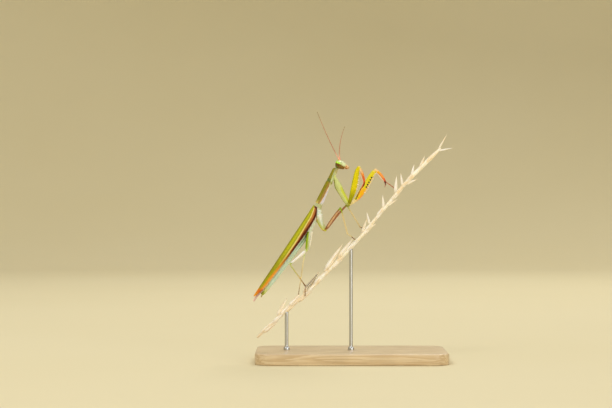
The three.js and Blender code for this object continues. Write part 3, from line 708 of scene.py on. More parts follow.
def shield_shell():
    """The pronotum: an arched plate, waisted behind, with a keel, a cross groove and toothed edges."""
    share = 0.5 - 0.5 * np.cos(np.pi * np.arange(181) / 180)[:, None]
    across = np.linspace(-1, 1, 81)[None, :]
    share, across = np.broadcast_arrays(share, across)
    nearest = np.minimum(np.minimum(share, 1 - share) / 0.06, 1)
    dome = np.sqrt(np.clip(1 - (1 - nearest) ** 2, 0.003, 1))
    angle = across * math.radians(SHIELD_WRAP)
    rear, front = step(share, 0.62, 0.58), step(share, 0.66, 0.7)
    middle, edge = np.abs(across) * 2.4, step(np.abs(across), 0.9, 0.99)
    groove = bell(share - 0.645 + 0.03 * across**2, 0.008)
    relief = 0.09 * bell(middle, 0.14) * rear - 0.07 * bell(middle, 0.12) * front - 0.12 * groove
    relief = relief + 0.05 * bell(middle - 0.35, 0.2) * rear * bell(share - 0.3, 0.3)
    teeth = 0.5 + 0.5 * np.sin(share * PRONOTUM_LENGTH * EDGE_TEETH)
    relief = relief + 0.06 * edge * teeth * step(share, 0.04, 0.12)
    relief = relief - 0.04 * bell(share - 0.8, 0.02) * bell(middle - 1.1, 0.5)

    def sheet(sink):
        wide = (shield_half_width(share) + relief - sink + 0.05 * edge) * dome
        top = shield_half_depth(share)
        deep = (top + relief - sink) * dome
        return SHIELD.out(PRONOTUM_LENGTH * share, wide * np.sin(angle), deep * np.cos(angle) - top)

    shell = Shell()
    keel = bell(middle, 0.2) * rear
    shell.plate(sheet(0.06), sheet(0.2), share=share, across=np.abs(across), groove=groove, keel=keel)
    return shell


def cercus_shell(side):
    root = np.array([ABDOMEN_REAR + 1.6, side * 0.75, -2.3])
    aside = unit(np.array([-1, side * 0.3, -0.12]))

    def path(share):
        place = root + aside * CERCUS_LENGTH * np.asarray(share)[..., None] * 0.98
        return TRUNK.out(place[..., 0], place[..., 1], place[..., 2])

    def relief(share, angle):
        return 0.035 * np.abs(np.sin(np.pi * CERCUS_LINKS * share)) - 0.02

    grid, share, _ = tube(path, lambda t: 0.26 - 0.13 * t, lambda t: 0.24 - 0.12 * t, CERCUS_LINKS * 8, 20,
                          ends=0.04, even=True, relief=relief)
    shell = Shell()
    shell.grid(grid, share=share, link=np.abs(np.sin(np.pi * CERCUS_LINKS * share)))
    seed = np.random.default_rng(CERCUS_SEED + side)
    for _ in range(CERCUS_HAIRS):
        t, turn = seed.uniform(0.1, 0.95), seed.uniform(0, 2 * np.pi)
        away = TRUNK.across * math.cos(turn) + TRUNK.up * math.sin(turn)
        out = unit(away - TRUNK.ahead * 0.8)
        thorn(shell, path(t) + away * 0.15, out, 0.3, 0.016, sides=5, rows=3, share=t)
    return shell


# ---- Head -----------------------------------------------------------------------------------------------


def head_shell():
    """The head capsule. Its marks are places along the head's own axes, in millimetres."""
    half = through((0, 1.5), (0.15, 2.0), (0.4, 2.2), (0.65, 1.7), (0.85, 1.15), (1, 0.95))
    depth = through((0, 0.75), (0.15, 1.3), (0.4, 1.55), (0.65, 1.45), (0.85, 1.1), (1, 0.9))
    lump = Shell()

    def path(share):
        return HEAD.out(-CHIN_SET_BACK * share, 0 * share, VERTEX_Z + (CHIN_Z - VERTEX_Z) * share)

    grid, _, _ = tube(path, half, depth, 60, 64, ends=0.14)
    lump.grid(grid)
    for side in (RIGHT, LEFT):
        lean = math.radians(-side * EYE_TILT)
        tall = HEAD.across * -math.sin(lean) + HEAD.up * math.cos(lean)
        centre = HEAD.out(EYE_PLACE[0], side * 1.62, EYE_PLACE[2] - 0.08)
        ring(lump, centre, HEAD.ahead * 1.06, tall * 1.14, 0.13)
        socket = HEAD.out(1.4, side * SOCKET[1], SOCKET[2])
        ring(lump, socket, HEAD.across * 0.27, unit(HEAD.up - HEAD.ahead * 0.3) * 0.3, 0.09)
        bead(lump, HEAD, (0.25, side * 1.2, 2.2), (0.7, 0.42, 0.36))
        bead(lump, HEAD, (0.3, side * 0.98, -0.75), (0.75, 0.42, 0.75))
    bead(lump, HEAD, (1.18, 0, 1.86), (0.42, 0.5, 0.3))
    points, normals, faces = fused(lump, FACE_VOXEL, 4)
    x, y, z = HEAD.into(points)
    out = np.abs(y)
    forward = step(x, 0.3, 0.7)
    shield = step(0.98 - 0.5 * np.abs(z - 0.42) - out, 0, 0.07) * step(z, 0.06, 0.13) * step(z, 0.86, 0.78)
    clypeus = step(0.8 + 0.1 * z - out, 0, 0.07) * step(z, -0.86, -0.78) * step(z, -0.02, -0.1)
    brow = bell(z - 0.86 + 0.08 * out, 0.05) * step(out, 1.0, 0.9)
    furrows = sum(bell(out - at, 0.045) for at in (0.0, 0.62, 1.02)) * step(z, 1.9, 2.1) * step(x, 0.9, 0.6)
    nape = bell(np.hypot(y, z - 0.1), 0.9) * step(x, -0.4, -0.9)
    cheek_line = bell(out - 0.86 - 0.42 * step(z, -1.2, 1.0), 0.05) * forward * step(z, 0.9, 0.6)
    lift = forward * (0.08 * shield + 0.09 * clypeus + 0.05 * brow - 0.05 * cheek_line) - 0.07 * furrows
    lift = lift - 0.15 * nape
    skin = Shell()
    skin.add(points + normals * lift[:, None], [faces], x=x, z=z, shield=shield * forward,
             clypeus=clypeus * forward, furrow=np.minimum(furrows + brow * forward * 0.5, 1))
    return skin


def eye_shell(side):
    shell = Shell()
    x, y, z = EYE_PLACE
    bead(shell, HEAD, (x, side * y, z), EYE_RADII, -side * EYE_TILT, rows=72, sides=96)
    return shell


def ocelli_shell():
    shell = Shell()
    for y, z in ((0, 1.66), (RIGHT * 0.36, 1.93), (LEFT * 0.36, 1.93)):
        bead(shell, HEAD, (1.5 if y == 0 else 1.36, y, z), (0.2, 0.17, 0.19), rows=16, sides=24)
    return shell


def mouth_shell():
    """Labrum, jaws, lower lip and two pairs of jointed feelers beside them."""
    lump = Shell()
    bead(lump, HEAD, (0.34, 0, -1.66), (0.32, 0.56, 0.72))
    bead(lump, HEAD, (-0.4, 0, -1.7), (0.42, 0.56, 0.8))
    for side in (RIGHT, LEFT):
        bead(lump, HEAD, (0.0, side * 0.4, -1.65), (0.62, 0.42, 0.9), tilt=-side * 9)
        bead(lump, HEAD, (-0.12, side * 0.2, -2.3), (0.34, 0.2, 0.4))
    points, normals, faces = fused(lump, FACE_VOXEL, 3)
    x, y, z = HEAD.into(points)
    lip = bell(np.abs(y) - 0.47 - 0.1 * (z + 1.6), 0.05) * step(x, 0.1, 0.3)
    split = bell(y, 0.04) * step(z, -2.0, -2.1)
    shell = Shell()
    shell.add(points - normals * (0.07 * lip + 0.08 * split)[:, None], [faces], z=z, x=x, lip=lip)
    palps = (
        (((-0.2, 0.7, -1.2), (-0.32, 0.92, -1.6), (-0.2, 0.8, -2.1), (0.02, 0.56, -2.5)), 4, 0.11),
        (((-0.5, 0.3, -2.0), (-0.52, 0.42, -2.3), (-0.3, 0.36, -2.6)), 3, 0.08),
    )
    for side in (RIGHT, LEFT):
        for places, links, radius in palps:
            path = bent(*[HEAD.out(a, side * b, c) for a, b, c in places])

            def relief(share, angle):
                return radius * (0.22 * np.abs(np.sin(np.pi * links * share)) ** 0.6 - 0.2)

            grid, share, _ = tube(path, radius, radius, 60, 16, ends=0.06, even=True, relief=relief)
            shell.grid(grid, z=-1.4 - 1.0 * share, x=0.1, palp=1.0)
    return shell


def bent(*points):
    """A smooth path through the points, at shares of its length."""
    points = np.array(points, float)
    gone = np.concatenate([[0], np.cumsum(np.linalg.norm(np.diff(points, axis=0), axis=1))])
    reads = [through(*zip(gone / gone[-1], points[:, axis])) for axis in range(3)]
    return lambda share: np.stack([read(share) for read in reads], -1)


def feeler_shell(side, sizes):
    """A feeler: a stout first link, a short second one and many rings that grow longer and thinner."""
    root = HEAD.out(SOCKET[0], side * SOCKET[1], SOCKET[2])
    middle, tip = (np.array(place) for place in FEELERS[side])
    reach = np.linalg.norm(middle - root) + np.linalg.norm(tip - middle)

    def path(share):
        s = np.asarray(share)[..., None]
        return root * (1 - s) ** 2 + middle * 2 * s * (1 - s) + tip * s**2

    def radius(share):
        thin = sizes.feeler_tip / MM + (sizes.feeler_root - sizes.feeler_tip) / MM * (1 - share) ** 1.2
        first = 0.11 * step(share * reach, 1.5, 1.35)
        second = 0.05 * step(share * reach, 2.0, 1.9)
        waist = 0.1 * bell(share * reach - 1.46, 0.07) + 0.06 * bell(share * reach - 1.98, 0.05)
        return thin + first + second - waist

    def link(share):
        return np.abs(np.sin(np.pi * FEELER_RINGS * share**0.9))

    def relief(share, angle):
        ringed = step(share * reach, 1.9, 2.2)
        return 0.14 * ringed * radius(share) * (link(share) ** 0.5 - 0.8)

    grid, share, _ = tube(path, radius, radius, FEELER_RINGS * 8, 14, ends=0.004, even=True, relief=relief)
    shell = Shell()
    shell.grid(grid, share=share, link=link(share))
    return shell


# ---- Wings ----------------------------------------------------------------------------------------------

wing_half_width = through(
    (0, 1.3), (0.06, 2.1), (0.25, 2.75), (0.5, 2.55), (0.78, 1.95), (0.93, 1.3), (1, 0.75),
)
wing_depth = through(
    (0, 1.6), (0.07, 2.95), (0.15, 3.35), (0.28, 3.4), (0.44, 3.05), (0.6, 2.7), (0.75, 2.35),
    (0.87, 1.95), (0.94, 1.35), (1, 0.75),
)
# How far below the back line the green field and the cream line end, by share of the wing's length.
green_ends = through(
    (0, 0.4), (0.1, 1.25), (0.17, 1.4), (0.33, 1.65), (0.5, 1.65), (0.65, 1.35), (0.75, 1), (0.9, 0.6),
    (1, 0.2),
)
cream_ends = through(
    (0, 0.8), (0.1, 1.85), (0.17, 1.95), (0.33, 2.3), (0.5, 2.25), (0.65, 1.9), (0.75, 1.4), (0.9, 0.95),
    (1, 0.35),
)
OVERLAP = 25.0  # how far a fore wing laps over the middle of the back, in degrees
PLEAT_DEPTH = 0.11
# The lengthwise veins of a fore wing: where each lies between the back line (0) and the margin (1) near the
# root and near the tip, and its height as a share of the tallest.
VEINS = (
    (0.05, 0.06, 0.4), (0.14, 0.14, 0.5), (0.22, 0.22, 0.45), (0.3, 0.31, 0.6), (0.37, 0.4, 0.5),
    (0.45, 0.5, 0.6), (0.53, 0.62, 1.0), (0.6, 0.68, 0.7), (0.7, 0.76, 0.3), (0.8, 0.84, 0.3),
    (0.985, 0.985, 0.9),
)


def fore_wing_shell(side, sizes):
    """One leathery fore wing, arched over the back. The right one laps over the left."""
    share = np.linspace(0, 1, 261)[:, None]
    over = np.linspace(0, 1, 89)[None, :]
    share, over = np.broadcast_arrays(share, over)
    start = -OVERLAP if side == RIGHT else -OVERLAP * 0.8
    angle = np.radians(start + (90 - start) * over)
    arc = np.clip(angle / (np.pi / 2), 0, 1)
    half, deep = wing_half_width(share), wing_depth(share)
    relief = np.zeros_like(share)
    for near, far, tall in VEINS:
        relief = relief + tall * bell(arc - near - (far - near) * share, 0.009)
    relief = relief * step(share, 0.0, 0.03)
    height = sizes.vein_height / MM
    ripple = 0.02 * np.sin(share * 23 + arc * 4) * np.sin(arc * 9)
    thick = sizes.wing_thickness / MM
    # the hidden half of the left wing runs under the right one
    tuck = (0.2 + 0.25 * step(arc, 0.3, 0.0)) * step(angle, 0.6, 0.45) if side == LEFT else 0.0
    trim = 0.045 * np.abs(over - 0.55) ** 2.5 * 4 * share**10

    def sheet(sink, drawn):
        along = -WING_LENGTH * (share - trim)
        wide = half - sink + height * relief * drawn + ripple * drawn
        lift = height * relief + ripple
        tall = deep * (1 - np.cos(angle)) + (sink + tuck - lift * drawn) * np.cos(angle)
        return TRUNK.out(along, side * wide * np.sin(angle), -tall)

    drop = deep * (1 - np.cos(angle))
    green, cream = green_ends(share), cream_ends(share)
    band = np.where(drop < green, drop / green, np.where(drop < cream, 1 + (drop - green) / (cream - green),
                    2 + (drop - cream) / np.maximum(deep - cream, 0.05)))
    band = np.where(angle < 0, 0.35 * np.minimum(-angle * 1.2, 1), band) / 3
    shell = Shell()
    vein = np.minimum(relief, 1)
    shell.plate(sheet(0.05, 1.0), sheet(0.05 + thick, 0.6), share=share, band=band, vein=vein)
    return shell


def hind_wing_shell(side):
    """A clear hind wing, pleated like a fan, of which only the tip shows."""
    share = np.linspace(0, 1, 161)[:, None]
    over = np.linspace(0, 1, 49)[None, :]
    share, over = np.broadcast_arrays(share, over)
    reach = through((0, 0.9), (0.1, 1.5), (0.5, 1.5), (0.85, 1.1), (1, 0.5))
    droop = through((0, 0), (0.9, 0), (1, 0.1))
    along = 1.5 + 39.0 * share - 0.9 * np.abs(over - 0.35) ** 2 * share**8
    out = 0.05 + reach(share) * over
    roof = np.minimum(along / WING_LENGTH, 1)
    angle = np.arcsin(np.minimum(out / (wing_half_width(roof) - 0.5), 0.95))
    pleat = PLEAT_DEPTH * np.abs((over * 5) % 1 - 0.5) * 2
    top = -wing_depth(roof) * (1 - np.cos(angle)) - 0.66 - droop(share) - pleat
    shell = Shell()
    shell.plate(TRUNK.out(-along, side * out, top), TRUNK.out(-along, side * out, top - 0.09),
                share=share, pleat=pleat / PLEAT_DEPTH)
    return shell


# ---- Legs -----------------------------------------------------------------------------------------------

# The half depth of each length of a leg, after its width as a share of its depth.
GIRTHS = {
    "fore": (
        (0.7, through((0, 0.5), (0.1, 0.62), (0.28, 1.18), (0.55, 1.08), (0.8, 0.95), (1, 0.68))),
        (0.62, through(
            (0, 0.5), (0.12, 0.6), (0.25, 0.82), (0.42, 1.1), (0.75, 1.02), (0.93, 0.8), (1, 0.7),
        )),
        (0.8, through((0, 0.5), (0.3, 0.48), (0.62, 0.4), (0.8, 0.26), (1, 0.06))),
    ),
    "mid": (
        (0.7, through((0, 1.35), (0.3, 1.3), (0.6, 1), (0.85, 0.75), (1, 0.5))),
        (0.85, through((0, 0.36), (0.12, 0.46), (0.55, 0.4), (0.9, 0.33), (1, 0.36))),
        (1.0, through((0, 0.3), (0.1, 0.24), (0.5, 0.22), (0.92, 0.2), (1, 0.26))),
    ),
    "hind": (
        (0.75, through((0, 0.82), (0.45, 0.82), (0.85, 0.7), (1, 0.5))),
        (0.85, through((0, 0.42), (0.12, 0.58), (0.55, 0.42), (0.9, 0.32), (1, 0.36))),
        (1.0, through((0, 0.3), (0.1, 0.24), (0.5, 0.21), (0.92, 0.2), (1, 0.26))),
    ),
}
# How far the middle line of a length bows off a straight one towards its back, by its length's share.
BOWS = {
    ("fore", 0): ((0, 0), (0.3, 0.35), (0.6, 0.4), (1, 0)),
    ("fore", 1): ((0, 0), (0.4, -0.22), (0.65, 0), (0.9, 0.28), (1, 0.15)),
    ("fore_left", 1): (
        (0, 0), (0.08, -0.5), (0.22, -0.85), (0.43, -0.76), (0.66, -0.33), (0.9, 0.19), (1, 0.15),
    ),
    ("mid", 0): ((0, 0), (0.5, 0.75), (0.85, 0.55), (1, 0.1)),
    ("mid", 1): ((0, 0), (0.5, 0.25), (1, 0.15)),
}
FOOT_LINKS = {
    "fore": (0.46, 0.19, 0.13, 0.08, 0.14),
    "mid": (0.4, 0.2, 0.14, 0.09, 0.17),
    "hind": (0.44, 0.19, 0.13, 0.09, 0.15),
}


def aim(pitch, splay, side):
    pitch, splay = math.radians(pitch), math.radians(splay)
    level = math.cos(splay)
    return np.array([level * math.cos(pitch), side * math.sin(splay), level * math.sin(pitch)])


def limb(name):
    """The places and the lengths of a leg's four parts, and its side."""
    side = SIDES[name.split("_")[1]]
    root, *parts = LEGS[name]
    ways = [aim(pitch, splay, side) for _, pitch, splay in parts]
    backs = (-ways[1], -ways[2], ways[1], ways[2])
    places, at = [], np.array(root)
    for way, back, (reach, _, _) in zip(ways, backs, parts):
        places.append(Place(at, way, back))
        at = at + way * reach
    return places, [reach for reach, _, _ in parts], side


def kind_of(name):
    return name.split("_")[0]


def bow_of(name, part):
    shared = BOWS.get((kind_of(name), part), ((0, 0), (1, 0)))
    return through(*BOWS.get((name, part), shared))


def axis(name, part, reach):
    """The middle line of a part in its own X and Z. The fore tibia ends in a hook under its foot joint."""
    if kind_of(name) == "fore" and part == 2:
        hook = ((reach + CLAW_REACH * 0.6, -CLAW_DROP * 0.38), (reach + CLAW_REACH, -CLAW_DROP))
        return ((0, 0), (reach / 2, 0.35), (reach, 0), *hook)
    bow = bow_of(name, part)
    return tuple((reach * share, float(bow(share))) for share in np.linspace(0, 1, 13))


def leg_lump(name, places, reaches):
    kind, lump = kind_of(name), Shell()
    for part, (place, reach, (flat, deep)) in enumerate(zip(places, reaches, GIRTHS[kind])):
        path = bent(*[place.out(x, 0, z) for x, z in axis(name, part, reach)])
        ends = 0.0 if kind == "fore" and part == 2 else 0.06
        grid, _, _ = tube(path, lambda t: deep(t) * flat, deep, 70, 28, level=place.across, ends=ends)
        lump.grid(grid)
    coxa, femur, tibia = places[:3]
    stout = kind == "fore"
    knob = 0.62 if stout else 0.5
    bead(lump, coxa, (reaches[0] - 0.1, 0, 0), (knob * 1.1, knob * 0.8, knob))
    if stout:
        bead(lump, coxa, (-0.2, 0, 0.05), (0.8, 0.5, 0.5))
    knee = GIRTHS[kind][1][1](1.0) * (1.02 if stout else 1.12)
    bead(lump, femur, (reaches[1] - 0.15, 0, 0.1), (knee, knee * (0.68 if stout else 0.85), knee))
    bead(lump, tibia, (reaches[2] - 0.1, 0, 0), (0.4, 0.3, 0.36) if stout else (0.32, 0.28, 0.3))
    return lump


def leg_marks(name, points, places, reaches):
    """Where each point of a leg's skin lies: which part, how far along it, and how far round it."""
    closest = np.full(len(points), np.inf)
    run, rise, flank = (np.zeros(len(points)) for _ in range(3))
    for part, (place, reach, (flat, deep)) in enumerate(zip(places, reaches, GIRTHS[kind_of(name)])):
        x, y, z = place.into(points)
        xs, zs = zip(*axis(name, part, reach))
        end = xs[-1]
        girth = deep(np.clip(x / end, 0, 1))
        off = z - np.interp(x, xs, zs)
        away = np.sqrt((x - np.clip(x, 0, end)) ** 2 + (y / flat) ** 2 + off**2) - girth
        mine = away < closest
        closest[mine] = away[mine]
        run[mine] = (part + np.clip(x / end, 0, 0.9999))[mine]
        rise[mine] = (off / girth)[mine]
        flank[mine] = (y / girth / flat)[mine]
    return run, rise, flank


def spines(shell, dots, place, rows, inward, flat, deep, reach, base, bow=lambda t: 0.0):
    """Adds rows of spines under a limb. A row is (first, last, count, side, tall, short, lean)."""
    for first, last, count, way, tall, short, lean in rows:
        for i in range(count):
            share = first + (last - first) * (i / (count - 1) if count > 1 else 0)
            size = tall if i % 2 == 0 else short
            girth = deep(share)
            y, z = way * inward * girth * flat * 0.62, bow(share) - girth * (0.76 if way else 0.84)
            root = place.out(share * reach, y, z)
            out = unit(place.ahead * lean + place.across * way * inward * 0.45 - place.up)
            radius = 0.06 + 0.06 * size
            thorn(shell, root - out * 0.08, out, size, radius, lean=place.ahead * 0.16, sides=8, rows=7,
                  run=base + share, rise=-0.8, flank=0.5 * way, spine=1.0)
            dot = place.out(share * reach, way * inward * girth * flat * 0.85, bow(share) - girth * 0.45)
            dots.append((dot, way * (i % 2 == 0) * (0.5 < share < 0.8)))


def foot(shell, kind, place, reach, radius, base=3.0):
    """Adds the five links of a foot, each flared at its end, and a pair of hooked claws."""
    start = 0.0

    def wide(t):
        return radius * (0.72 + 0.5 * t**3)

    def deep(t):
        return radius * (0.72 + 0.42 * t**3)

    for i, part in enumerate(FOOT_LINKS[kind]):
        first, last = start * reach, (start + part) * reach
        bow = 0.05 if i == 0 else 0.0
        middle = place.out((first + last) / 2, 0, bow)
        path = bent(place.out(first - 0.04, 0, 0), middle, place.out(last, 0, 0))
        grid, share, _ = tube(path, wide, deep, 18, 14, level=place.across, ends=0.12)
        shell.grid(grid, run=base + start + part * share, rise=0.0, flank=0.0)
        pad = place.out(last - radius * 0.9, 0, -radius * 0.75)
        radii = (radius * 0.9, radius * 0.8, radius * 0.55)
        bead(shell, Place(pad, place.ahead, place.up), (0, 0, 0), radii, rows=10, sides=12,
             run=base + start + part, rise=-1.0)
        start += part
    for way in (-1, 1):
        root = place.out(reach - 0.06, way * radius * 0.55, 0)
        out = unit(place.ahead + place.across * way * 0.55 + place.up * 0.25)
        thorn(shell, root, out, 0.55, 0.07, lean=-place.up * 0.42, run=base + 1, spine=1.0)


def leg_shell(name, sizes):
    kind = kind_of(name)
    places, reaches, side = limb(name)
    voxel = FORE_LEG_VOXEL if kind == "fore" else LEG_VOXEL
    points, normals, faces = fused(leg_lump(name, places, reaches), voxel, 3)
    run, rise, flank = leg_marks(name, points, places, reaches)
    part, share = np.floor(run), run % 1
    inwards = [1.0 if place.across @ (0, -side, 0) > 0 else -1.0 for place in places]
    flank = flank * np.choose(part.astype(int), inwards[:3])
    shell, dots = Shell(), []
    if kind == "fore":
        femur, tibia = sizes.femur_spine / MM, sizes.tibia_spine / MM
        flat, deep = GIRTHS[kind][1]
        rows = (
            (0.42, 0.925, 17, 1, femur, femur * 0.5, 0.3),
            (0.46, 0.9, 5, -1, femur * 0.9, femur * 0.9, 0.3),
            (0.44, 0.44, 1, 0, femur * 0.6, 0, 0.2),
            (0.51, 0.51, 1, 0, femur * 1.05, 0, 0.2),
            (0.58, 0.64, 2, 0, femur * 0.8, femur * 0.5, 0.2),
        )
        spines(shell, dots, places[1], rows, inwards[1], flat, deep, reaches[1], 1.0, bow_of(name, 1))
        thin, slim = GIRTHS[kind][2]
        rows = (
            (0.16, 0.96, 11, 1, tibia, tibia * 0.8, 0.9),
            (0.3, 0.96, 8, -1, tibia * 0.9, tibia * 0.9, 0.9),
        )
        spines(shell, [], places[2], rows, inwards[2], thin, lambda t: slim(t * 0.7), reaches[2], 2.0)
        seed = np.random.default_rng(COXA_SEED + side)
        for share_at in np.linspace(0.1, 0.92, COXA_TEETH):
            girth = GIRTHS[kind][0][1](share_at)
            root = places[0].out(share_at * reaches[0], 0, -girth * 0.97)
            size = seed.uniform(0.12, 0.24)
            thorn(shell, root, -places[0].up, size, 0.06, run=share_at, rise=-1.0, spine=0.4)
        under = step(-rise, 0.35, 0.8) * bell(flank, 0.45)
        lift = -0.16 * under * (part == 1) * step(share, 0.32, 0.42) * step(share, 0.97, 0.9)
        lift -= 0.05 * (part == 0) * bell(rise - 0.1, 0.25)
        shaft = bell(rise - 0.15, 0.12) * step(share, 0.1, 0.3) * step(share, 0.95, 0.85)
        lift += 0.05 * (part == 1) * shaft
        lift += 0.04 * (part < 2) * bell(np.abs(rise) - 1, 0.15)
    else:
        around = np.arctan2(rise, flank)
        lift = 0.018 * np.cos(5 * around) * (part > 0) * step(share, 0.0, 0.1) * step(share, 1.0, 0.9)
        lift = lift + 0.03 * (part == 0) * np.cos(3 * around)
        seed = np.random.default_rng(sum(map(ord, name)))
        for _ in range(LEG_HAIRS):
            which = 1 if seed.random() < 0.35 else 2
            along, turn = seed.uniform(0.08, 0.96), seed.uniform(0, 2 * np.pi)
            place, (flat, deep) = places[which], GIRTHS[kind][which]
            girth = deep(along)
            away = place.across * math.cos(turn) * flat + place.up * math.sin(turn)
            bow = float(bow_of(name, which)(along))
            root = place.out(along * reaches[which], 0, bow) + away * girth * 0.85
            out = unit(away + place.ahead * 0.9)
            size = sizes.hair / MM * seed.uniform(0.6, 1.1)
            thorn(shell, root, out, size, 0.02, sides=5, rows=3, run=which + along, spine=0.5)
        for way in (-1, 1):
            root = places[2].out(reaches[2] - 0.12, way * 0.14, -0.12)
            out = unit(places[2].ahead + places[2].across * way * 0.35 - places[2].up * 0.35)
            thorn(shell, root, out, 0.75, 0.07, run=2.97, spine=0.7)
        root = places[1].out(reaches[1] - 0.1, 0, 0.22)
        thorn(shell, root, unit(places[1].ahead + places[1].up * 0.5), 0.5, 0.07, run=1.97, spine=0.7)
    dot = np.zeros(len(points))
    for place, counts in dots:
        if counts > 0:
            dot = np.maximum(dot, bell(np.linalg.norm(points - place, axis=1), DOT_SIZE[side]))
    coxa_x, _, _ = places[0].into(points)
    away = np.hypot(coxa_x - 2.2, rise * 1.1 - 0.1) + 9 * ((part != 0) | (flank < 0) | (kind != "fore"))
    shell.add(points + normals * lift[:, None], [faces], run=run, rise=rise, flank=flank, dot=dot,
              spot=step(away, 0.8, 0.7), pupil=step(away, 0.42, 0.32))
    stoutness = {"fore": 1.2, "mid": 1.0, "hind": 0.95}[kind]
    foot(shell, kind, places[3], reaches[3], sizes.tarsus_radius / MM * stoutness)
    return shell


# ---- Grass and stand ------------------------------------------------------------------------------------

STEM_LENGTH = 94.5
STEM_NODES = (0.12, 0.245, 0.36, 0.43, 0.56, 0.686, 0.758, 0.848)
FLUTES, FLUTE_TWIST = 9, 3
stem_path = bent(*[(x, 0, z) for x, z in STEM_POINTS])
stem_radius = through((0, 0.4), (0.1, 0.52), (0.35, 0.64), (0.6, 0.52), (0.8, 0.6), (0.94, 0.72), (1, 0.35))


def glume(shell, root, out, away, reach, half, thick, tone,
          husk=0.0, turn=0.0, short=1.0, start=0.0, pale=0.0):
    """Adds one dry boat-shaped scale that ends in a point. away is the side of the stem it stands on."""
    away = unit(away - out * (away @ out))
    across = np.cross(out, away)
    lean = math.radians(turn)
    near, far = math.cos(lean), math.sin(lean)
    away, across = away * near + across * far, across * near - away * far
    share = (np.arange(33) / 32)[:, None]
    over = np.linspace(-1, 1, 15)[None, :]
    share, over = np.broadcast_arrays(share, over)
    girth = through((0, 0.4), (0.2, 1), (0.5, 0.85), (0.8, 0.42), (0.93, 0.16), (1, 0.05))(share) * half
    angle = over * math.radians(104)
    fluted = 0.035 * np.cos(over * 5 * np.pi) + 0.06 * bell(over, 0.08)

    def sheet(sink):
        size = girth * (1 + fluted) - sink
        place = root + out * ((start + (short - start) * share) * reach)[..., None]
        sideways = across * (size * np.sin(angle))[..., None]
        outward = away * (size * 0.75 * np.cos(angle) - 0.1 * half * share)[..., None]
        return place + sideways + outward

    sink = np.minimum(thick, girth * 0.5)
    rib = 0.5 + 0.5 * np.cos(over * 5 * np.pi)
    shell.plate(sheet(0), sheet(sink), share=share, over=np.abs(over), rib=rib, tone=tone, husk=husk,
                pale=pale)


def awn_radius(share):
    return 0.07 - 0.05 * share


def grass_shell(sizes):
    """The dry spike: a fluted stalk, scales pressed along it and spikelets that stand off it."""
    shell = Shell()
    seed = np.random.default_rng(GRASS_SEED)

    def flute(share, angle):
        return np.cos(FLUTES * angle + FLUTE_TWIST * share)

    def relief(share, angle):
        nodes = sum(bell((share - at) * STEM_LENGTH, 0.5) for at in STEM_NODES)
        return 0.035 * flute(share, angle) - 0.02 + 0.09 * nodes

    grid, share, angle = tube(stem_path, stem_radius, stem_radius, 420, 48,
                              ends=0.006, even=True, relief=relief)
    shell.grid(grid, share=share, rib=0.5 + 0.5 * flute(share, angle), tone=0.6)
    spikelets = [(*spikelet, i == HUSK) for i, spikelet in enumerate(SPIKELETS)]
    for i in range(PRESSED_GLUMES):
        share = FIRST_GLUME + (LAST_GLUME - FIRST_GLUME) * i / PRESSED_GLUMES
        size = 1.1 - 0.4 * share
        spikelets.append((share, 1 if i % 2 else -1, 6, 6.4 * size, 0.85 * size, 0.2, False))
    thick = sizes.glume_thickness / MM
    for i in range(CLOSE_SCALES):
        share = 0.02 + 0.92 * i / CLOSE_SCALES
        size = 1.1 - 0.45 * share
        along = unit(stem_path(share + 0.005) - stem_path(share - 0.005))
        turn = math.radians(i * GOLDEN_ANGLE)
        off = np.array([-along[2], 0, along[0]]) * math.cos(turn) + np.array([0, 1, 0]) * math.sin(turn)
        root, out = stem_path(share) + off * 0.22, unit(along + off * 0.05)
        glume(shell, root, out, off, 5.6 * size, 0.62 * size, thick, seed.uniform(0, 1))
    for share, side, lift, reach, half, offset, husk in spikelets:
        along = unit(stem_path(min(share + 0.005, 1)) - stem_path(max(share - 0.005, 0)))
        off = np.array([-along[2], 0, along[0]]) * side
        turn = math.radians(lift)
        out = along * math.cos(turn) + off * math.sin(turn)
        root = stem_path(share) + off * offset
        tone = seed.uniform(0, 1, 4)
        stripe = 1.0 if husk else 0.0
        pale = 1.0 if lift > 30 else 0.35
        # each scale's width, darkness, turn round the spikelet, end and start
        scales = (
            (0.98, stripe, 0.0, 0.86, 0.0),
            (0.84, stripe * 0.6, 180.0, 0.8, 0.0),
            (0.72, stripe, seed.uniform(50, 80), 0.97, 0.1),
            (0.66, 0.0, seed.uniform(-80, -50), 1.0, 0.14),
        )
        for shade, (wide, dark, twist, end, start) in zip(tone, scales):
            glume(shell, root, out, off, reach, half * wide, thick, shade, dark, twist, end, start, pale)
        awn = line(root + out * reach * 0.3, root + out * reach * 0.995)
        bristle, _, _ = tube(awn, awn_radius, awn_radius, 8, 6, level=np.cross(out, off), even=True)
        shell.grid(bristle, tone=tone[0])
    return shell


def base_shell():
    """The wooden base: a low block with round corners, a soft foot edge and a bevel round its top."""
    long, wide, tall = BASE_SIZE
    arc = np.linspace(0, math.pi / 2, 13)
    levels = (
        (0.5, 0), (0.12, 0.1), (0, 0.35), (0, tall - BASE_BEVEL), (0.1, tall - 0.28), (0.3, tall - 0.09),
        (BASE_BEVEL, tall), (BASE_BEVEL + 1.5, tall),
    )
    rows = []
    for inset, z in levels:
        corner = BASE_CORNER - inset
        x, y = [], []
        for quarter, (sx, sy) in enumerate(((1, 1), (-1, 1), (-1, -1), (1, -1))):
            turn = arc + quarter * math.pi / 2
            x.append(sx * (long / 2 - BASE_CORNER) + corner * np.cos(turn))
            y.append(sy * (wide / 2 - BASE_CORNER) + corner * np.sin(turn))
        x, y = np.concatenate(x), np.concatenate(y)
        rows.append(np.stack([x, y, np.full_like(x, z)], -1))
    shell = Shell()
    height = np.array([z for _, z in levels])[:, None] / tall
    shell.grid(np.array(rows), height=np.broadcast_to(height, (len(levels), rows[0].shape[0])))
    return shell


